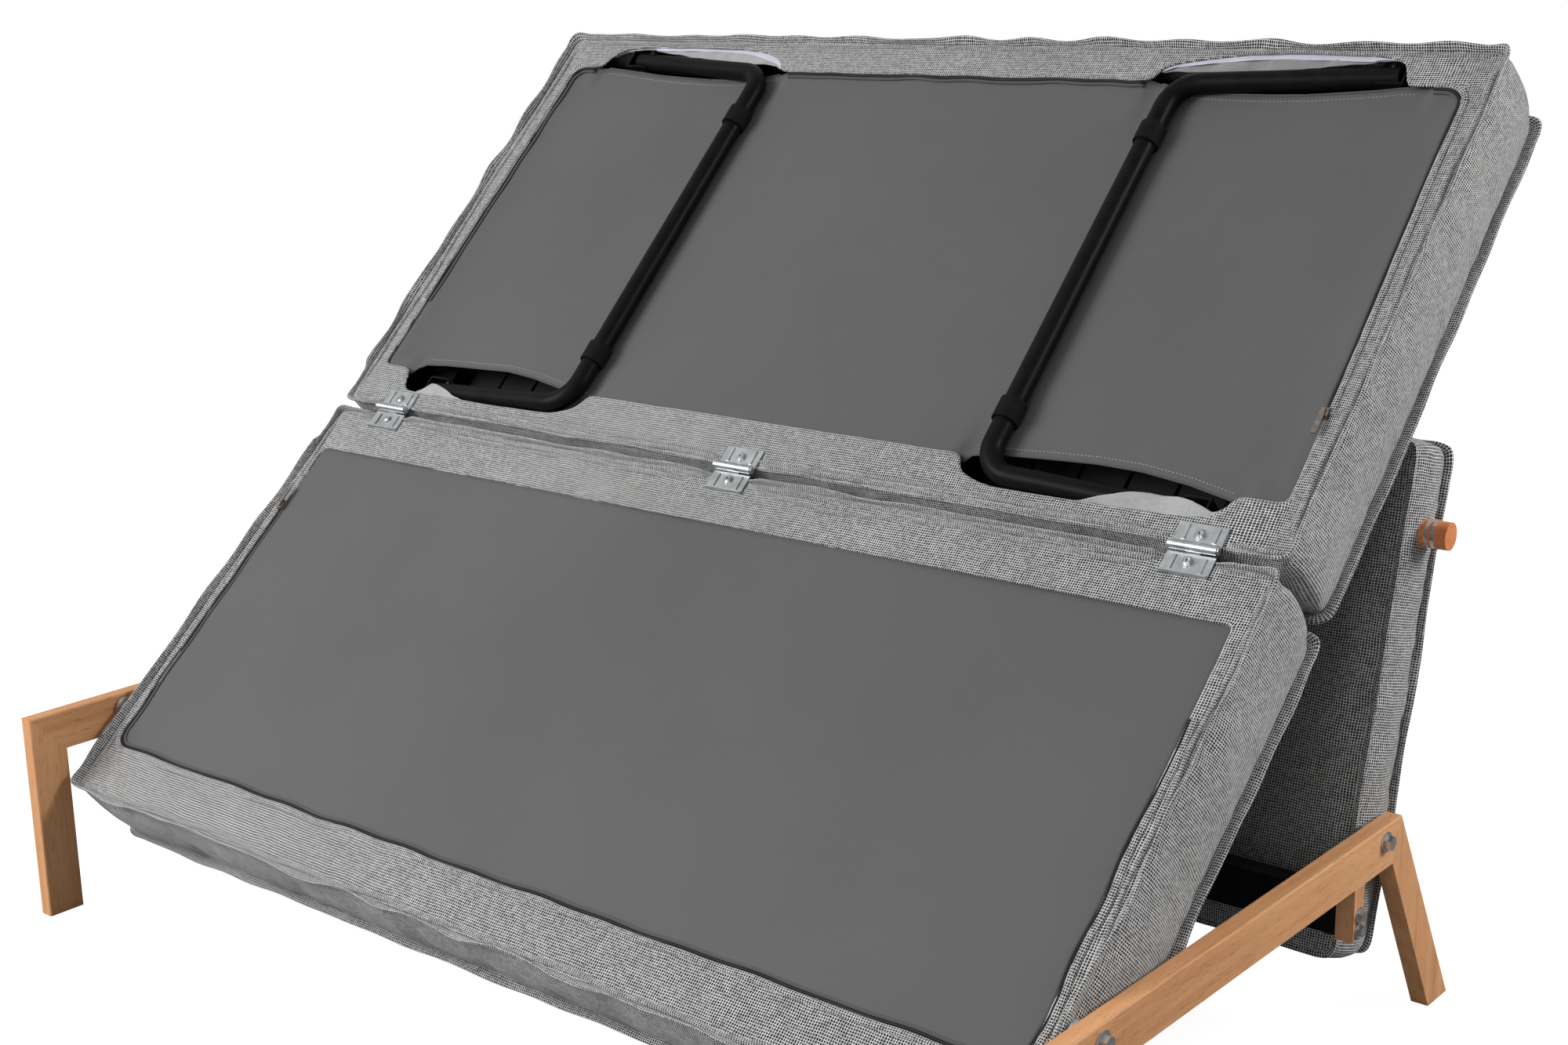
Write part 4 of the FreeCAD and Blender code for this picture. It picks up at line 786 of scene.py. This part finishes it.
# ---- linings
def sheet_grid(name, panel, X, Y, Z, mat, thick=0.9):
    nx, ny = X.shape[0] - 1, X.shape[1] - 1
    ids = np.arange(X.size).reshape(X.shape)
    faces = [[ids[i, j], ids[i + 1, j], ids[i + 1, j + 1], ids[i, j + 1]] for i in range(nx) for j in range(ny)]
    o = make(name, np.stack([X.ravel(), Y.ravel(), Z.ravel()], 1), faces, None, mats=(mat,))
    s = o.modifiers.new("thick", "SOLIDIFY")
    s.thickness = thick
    s.offset = -1
    bake(o)
    place(o, panel)
    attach(o, BODY[panel])
    return o


gx, gy = np.meshgrid(np.linspace(-683, 674, 137), np.linspace(74, 553, 50), indexing="ij")
wa, wb = waves(61, 6, 200, 900), waves(62, 6, 150, 700)
gz = -1.6 - 1.6 * (1 - np.clip(np.abs(gx / 674), 0, 1) ** 4) * (1 - ((gy - 313) / 240) ** 4) + 0.35 * wa(gx + 0.4 * gy) + 0.3 * wb(gy - 0.3 * gx)
lining_a = sheet_grid("lower_lining_cloth", "lower", gx, gy, gz, M["lining"])
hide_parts("lower_panel_lining")

gx, gt = np.meshgrid(lines([-671, -618, -600, -300, -282, 282, 300, 600, 618, 671], 7.0), np.linspace(0, 1, 64), indexing="ij")


def hem_at(where, x):
    base = 63.0 if where == "low" else 607.0
    inside = (np.abs(x) >= 283) & (np.abs(x) <= 614)
    return np.where(inside, profile(HEM, where, x), base)


vlo, vhi = hem_at("low", gx), hem_at("high", gx)
gy = vlo + (vhi - vlo) * gt
att = smooth(268, 284, np.abs(gx)) * (1 - smooth(613, 626, np.abs(gx)))
rise = np.maximum(np.exp(-np.clip(656 - np.abs(gx), 0, None) / 26),
                  (1 - att) * np.exp(-np.clip(np.minimum(gy - 74, 594 - gy), 0, None) / 26))
gz = -11.6 + 8.4 * rise + 0.3 * wa(gx * 1.1 - 0.5 * gy) + 0.25 * wb(gy * 1.2 + 0.2 * gx)
hem = np.exp(-((gy - vlo) / 7.0) ** 2) + np.exp(-((vhi - gy) / 7.0) ** 2)
gz += 1.1 * hem * att
lining_b = sheet_grid("upper_lining_cloth", "upper", gx, gy, gz, M["lining"])
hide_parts("upper_panel_lining")


def lining_height(x, y):
    lo_, hi_ = hem_at("low", x), hem_at("high", x)
    at = smooth(268, 284, np.abs(x)) * (1 - smooth(613, 626, np.abs(x)))
    rs = np.maximum(np.exp(-np.clip(656 - np.abs(x), 0, None) / 26),
                    (1 - at) * np.exp(-np.clip(np.minimum(y - 74, 594 - y), 0, None) / 26))
    z = -11.6 + 8.4 * rs + 0.3 * wa(x * 1.1 - 0.5 * y) + 0.25 * wb(y * 1.2 + 0.2 * x)
    return z + 1.1 * (np.exp(-((y - lo_) / 7.0) ** 2) + np.exp(-((hi_ - y) / 7.0) ** 2)) * at


# ---- zips: a dark coil between the border's edge and the lining, with a low welt on the lining side
def rounded_path(points, r, step=6.0):
    pts = [np.array(p, float) for p in points]
    out = [pts[0]]
    for a_, b_, c_ in zip(pts, pts[1:], pts[2:]):
        d1, d2 = (a_ - b_) / np.linalg.norm(a_ - b_), (c_ - b_) / np.linalg.norm(c_ - b_)
        p1, p2 = b_ + d1 * r, b_ + d2 * r
        centre = b_ + (d1 + d2) * r
        for k in range(9):
            t = k / 8 * math.pi / 2
            out.append(centre - d2 * r * math.cos(t) - d1 * r * math.sin(t))
    out.append(pts[-1])
    out = np.array(out)
    s = np.concatenate([[0], np.cumsum(np.linalg.norm(np.diff(out, axis=0), axis=1))])
    t = np.arange(0, s[-1], step)
    return np.stack([np.interp(t, s, out[:, k]) for k in range(2)], 1), t


def zip_run(name, panel, corners, z, seed, wob=1.6, fold_z=0.2):
    path, t = rounded_path(corners, 20.0)
    tan = np.gradient(path, axis=0)
    tan /= np.linalg.norm(tan, axis=1)[:, None]
    side = np.stack([-tan[:, 1], tan[:, 0]], 1)
    w_ = waves(seed, 6, 60, 260)
    ends = np.minimum(smooth(0, 30, t), smooth(0, 30, t[-1] - t))
    path = path + side * (wob * w_(t) * ends)[:, None]
    zz = z(path[:, 0], path[:, 1]) if callable(z) else np.full(len(path), z)
    P3 = np.column_stack([path, zz])
    A3 = np.column_stack([side, np.zeros(len(side))])
    ribbon(name + "_coil", panel, P3, A3, circle(1.1, 8, -2.4, 0.9), M["zipteeth"])
    ribbon(name + "_tape", panel, P3, A3, [(-5.5, 0.0), (-5.5, 0.6), (2.2, 0.6), (2.2, 0.0)], M["felt"])
    ribbon(name + "_welt", panel, P3, A3, [(1.2 + 2.0 * math.cos(q_), 1.5 * max(math.sin(q_), -0.3)) for q_ in np.linspace(0, 2 * math.pi, 11)[:-1]], M["hem"])
    ribbon(name + "_fold", panel, P3 + np.column_stack([0 * t, 0 * t, np.where(fold_z, -zz + fold_z, 0.0)]), A3,
           [(-8.2 + 3.9 * math.cos(q_), 1.5 * max(math.sin(q_), -0.25)) for q_ in np.linspace(0, 2 * math.pi, 15)[:-1]],
           M["check"], uv=True)


zip_run("lower_zip_line", "lower", [(-674.5, 455), (-674.5, 82), (666, 82), (668, 446)], -1.2, 71)


def over(x, y):
    return lining_height(x, y) + 1.0


zip_run("upper_zip_right", "upper", [(663, 176), (658, 596), (624, 596)], over, 81, 1.2)
zip_run("upper_zip_left", "upper", [(-624, 596), (-658, 596), (-663, 176)], over, 82, 1.2)
zip_run("upper_zip_middle", "upper", [(272, 596), (0, 596.5), (-272, 596)], over, 83)


# ---- topstitched hems of the lining along the slots
def hem_line(name, sign, low):
    x = np.linspace(290, 607, 70)
    v = hem_at("low" if low else "high", sign * x)
    step = 1 if low else -1
    P3 = np.column_stack([sign * x, v, lining_height(sign * x, v) + 0.2])
    tan = np.gradient(P3[:, :2], axis=0)
    tan /= np.linalg.norm(tan, axis=1)[:, None]
    A3 = np.column_stack([-tan[:, 1], tan[:, 0], 0 * x])
    ribbon(name + "_fold", "upper", P3, A3, [(1.5 * math.cos(a_), 0.9 * math.sin(a_)) for a_ in np.linspace(0, 2 * math.pi, 9)[:-1]],
           M["hem"])
    vs, fs = [], []
    for k in np.arange(292, 604, 4.6):
        pts = []
        for kk in (k, k + 2.6):
            vv = float(hem_at("low" if low else "high", sign * kk)) + step * 8.5
            pts.append((sign * kk, float(vv), float(lining_height(sign * kk, vv))))
        base = len(vs)
        for q in pts:
            for da, db in ((-0.35, 0.1), (0.35, 0.1), (0.35, 0.7), (-0.35, 0.7)):
                vs.append((q[0], q[1] + da, q[2] + db))
        for f in ((0, 1, 2, 3), (7, 6, 5, 4), (0, 4, 5, 1), (1, 5, 6, 2), (2, 6, 7, 3), (3, 7, 4, 0)):
            fs.append([base + i for i in f])
    st = make(name + "_stitches", vs, fs, None, False, mats=(M["thread"],))
    place(st, "upper")
    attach(st, "seat_upper")


for sign, side in ((-1, "left"), (1, "right")):
    hem_line("hem_low_" + side, sign, True)
    hem_line("hem_high_" + side, sign, False)


# ---- loose strips of liner that show along the border's side of the slots
def arm_top(x, v, where):
    """Height of the fold-out leg's arm over the panel at a point in the slot."""
    off = np.where(np.asarray(x) > 0, 12.0, 0.0)
    n = -16.5 + (549 + off - np.abs(x)) * 0.07993
    centre = 48.0 if where == "low" else 593.7 + (np.abs(x) - 304.3 - off) * 0.1317
    w = np.clip(1 - ((v - centre) / 13.4) ** 2, 0, 1)
    return np.where((w > 0) & (np.abs(x) < 568 + off), n + 13.4 * np.sqrt(w), -60.0)


def liner(name, sign, where, reach, z0, z1, mat, seed, tuck=7.0, rough=1.0, rows=13):
    """A strip hanging in from the border's edge; reach lists how far it comes in at each x."""
    xr, rr = np.array(reach, float).T
    x = np.linspace(xr[0], xr[-1], max(24, int((xr[-1] - xr[0]) / 5)))
    w1_, w2_ = waves(seed, 6, 22, 120), waves(seed + 3, 6, 18, 90)
    d_ = 1 if where == "low" else -1
    edge = profile(EDGE, where, sign * x)
    far = np.interp(x, xr, rr) * (1 + 0.05 * rough * w1_(x)) + 0.4 * rough * w2_(x)
    if where == "high":
        # clear of the arm, which swings out past the strip
        off = 12.0 if sign > 0 else 0.0
        arm = 593.7 + (x - 304.3 - off) * 0.1317 + 14.0
        arm = np.where(np.abs(x - 549 - off) < 17, 640.2, arm)
        far = np.minimum(far, edge - arm)
    far = np.maximum(far, 0.4)
    k = np.linspace(0, 1, rows)
    X = np.repeat(x[:, None], rows, 1) * sign
    Y = (edge - d_ * tuck)[:, None] + d_ * (far + tuck)[:, None] * k[None, :]
    Z = z0 + (z1 - z0) * k[None, :] + (0.9 * rough * w2_(x))[:, None] * k[None, :] + \
        (0.8 * rough * w1_(x * 1.7 + 50))[:, None] * np.sin(np.pi * k)[None, :]
    Z = np.where(k[None, :] * (far + tuck)[:, None] < tuck + 0.5, np.minimum(Z, -2.6), Z)
    top = arm_top(X, Y, where) + 1.0
    Z = np.where(top > Z, top, Z)
    for _ in range(2):
        Z[1:-1, 1:-1] = np.maximum(Z[1:-1, 1:-1], (Z[:-2, 1:-1] + Z[2:, 1:-1] + Z[1:-1, :-2] + Z[1:-1, 2:]) / 4)
    turn = (sign < 0) != (where == "high")
    if turn:
        X, Y, Z = X[::-1], Y[::-1], Z[::-1]
    o = sheet_grid(name, "upper", X, Y, Z, mat, 0.6)
    return o


liner("liner_low_right", 1, "low", [(440, 0.5), (460, 5), (482, 12), (500, 19), (515, 22), (535, 21), (552, 22), (566, 20), (580, 14), (594, 6), (604, 2)],
      -1.0, -1.5, M["thinliner"], 301, rough=0.4)
liner("liner_low_left", -1, "low", [(489, 0.5), (510, 5), (530, 12), (551, 19), (560, 18), (570, 9), (580, 2)],
      -1.0, -1.5, M["thinliner"], 311, rough=0.6)
liner("liner_high_right", 1, "high", [(286, 3), (330, 5), (380, 7), (420, 9), (470, 10), (520, 8), (550, 5), (575, 3), (588, 1)],
      -1.6, -3.0, M["liner"], 321, rough=0.7)
liner("felt_high_right", 1, "high", [(417, 24), (422, 26), (450, 27), (500, 23), (540, 15), (565, 9), (580, 5), (589, 1)],
      -3.4, -4.6, M["greyfelt"], 331, tuck=4.0)
liner("felt_high_middle", 1, "high", [(288, 3), (305, 8), (330, 14), (360, 19), (400, 24), (424, 26)],
      -4.2, -5.6, M["greyfelt"], 335, tuck=4.0)
liner("liner_high_left", -1, "high", [(288, 4), (303, 9), (325, 10), (345, 6), (400, 4), (480, 3.5), (540, 5), (575, 8), (592, 3), (602, 1)],
      -1.6, -3.0, M["liner"], 341, rough=0.7)
liner("felt_high_left", -1, "high", [(290, 6), (304, 12), (330, 18), (370, 21), (440, 18), (500, 14), (550, 9), (585, 5), (602, 1)],
      -3.6, -5.2, M["palefelt"], 351, tuck=4.0)

# ---- black wrap of the foam, seen in the depth of the slots
wrap = Shell("upper_foam_wrap", 686, 12, 646, 16, 642, -66.5, -108.0, lines([-686, 686], 30), lines([12, 646], 30), 4,
             crown=0.0, bulge=0.0)
wa_ = co(wrap.obj)
up_face = np.abs(wa_[:, 2] + 66.5) < 1e-3
wa_[up_face, 2] += 1.2 * (wb(wa_[:, 0] * 3) * wa(wa_[:, 1] * 3))[up_face] - 1.2
set_co(wrap.obj, wa_)
wrap.obj.data.materials.clear()
wrap.obj.data.materials.append(M["foam"])
wrap.refine()
place(wrap.obj, "upper")
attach(wrap.obj, "seat_upper")
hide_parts("upper_panel_foam")

# ------------------------------------------------------------------- stage
bpy.ops.mesh.primitive_plane_add(size=90, location=(0, 0, 0))
floor = bpy.context.object
floor.name = "floor"
fm, fnt, fb = new_mat("pale_floor")
fn = noise(fnt, obj_coord(fnt), 0.6, 3)
fnt.links.new(ramp(fnt, fn, [(0.3, (0.19, 0.19, 0.19)), (0.7, (0.22, 0.22, 0.22))]), fb.inputs["Base Color"])
fb.inputs["Roughness"].default_value = 0.9
fb.inputs["Specular IOR Level"].default_value = 0.1
fb.inputs["Emission Color"].default_value = (1, 1, 1, 1)
flp = nd(fnt, "ShaderNodeLightPath")
fnt.links.new(math_node(fnt, "MULTIPLY", flp.outputs["Is Camera Ray"], 0.94), fb.inputs["Emission Strength"])
floor.data.materials.append(fm)

world = bpy.data.worlds.new("studio")
scene.world = world
world.use_nodes = True
wnt = world.node_tree
bg = wnt.nodes["Background"]
bg.inputs["Color"].default_value = (1, 1, 1, 1)
# soft studio light that is strongest from the front and the left and falls off to the right and behind
wdir = nd(wnt, "ShaderNodeTexCoord").outputs["Generated"]
wdot = nd(wnt, "ShaderNodeVectorMath", operation="DOT_PRODUCT")
wnt.links.new(wdir, wdot.inputs[0])
wdot.inputs[1].default_value = (-0.62, -0.42, 0.66)
wnt.links.new(math_node(wnt, "MULTIPLY_ADD", wdot.outputs["Value"], 0.46, 0.11, clamp=True), bg.inputs["Strength"])
bg2 = nd(wnt, "ShaderNodeBackground")
bg2.inputs["Color"].default_value = (1, 1, 1, 1)
bg2.inputs["Strength"].default_value = 1.0
mx = nd(wnt, "ShaderNodeMixShader")
lp = nd(wnt, "ShaderNodeLightPath")
wnt.links.new(lp.outputs["Is Camera Ray"], mx.inputs[0])
wnt.links.new(bg.outputs[0], mx.inputs[1])
wnt.links.new(bg2.outputs[0], mx.inputs[2])
wnt.links.new(mx.outputs[0], wnt.nodes["World Output"].inputs["Surface"])


def softbox(name, loc, target, size, power):
    ld = bpy.data.lights.new(name, "AREA")
    ld.shape = "RECTANGLE"
    ld.size, ld.size_y = size
    ld.energy = power
    lo = bpy.data.objects.new(name, ld)
    scene.collection.objects.link(lo)
    lo.location = loc
    lo.rotation_euler = (Vector(target) - Vector(loc)).to_track_quat("-Z", "Y").to_euler()
    return lo


softbox("key_light", (-2.2, -3.3, 2.4), (0, 0, 0.5), (2.4, 2.0), 142)
softbox("side_light", (3.3, 1.7, 2.3), (0.4, 0.2, 0.5), (1.5, 1.5), 112)
softbox("front_fill", (1.3, -3.4, 0.9), (-0.5, -0.4, 0.3), (1.2, 1.0), 14)
softbox("back_light", (-1.0, 3.2, 2.8), (0, 0.2, 0.5), (2.4, 1.6), 25)

# ------------------------------------------------------------------ camera
yaw, pitch, roll = math.radians(40.15), math.radians(-14.4), math.radians(-1.03)
d = Vector((-math.sin(yaw) * math.cos(pitch), math.cos(yaw) * math.cos(pitch), math.sin(pitch)))
r = Vector((math.cos(yaw), math.sin(yaw), 0))
u = r.cross(d)
r2 = math.cos(roll) * r + math.sin(roll) * u
u2 = -math.sin(roll) * r + math.cos(roll) * u
cam_data = bpy.data.cameras.new("camera")
cam_data.sensor_fit = "HORIZONTAL"
cam_data.sensor_width = 36
cam_data.lens = 2793.6 / 2000 * 36
cam_data.dof.use_dof = False
cam_data.clip_end = 60
cam = bpy.data.objects.new("camera", cam_data)
scene.collection.objects.link(cam)
rot = Matrix((r2, u2, -d)).transposed().to_4x4()
cam.matrix_world = Matrix.Translation((1.6178, (-1331.6 - YM) * MM, 1.1350)) @ rot
scene.camera = cam
scene.view_settings.view_transform = "Standard"
scene.view_settings.look = "None"
scene.view_settings.exposure = 0.0
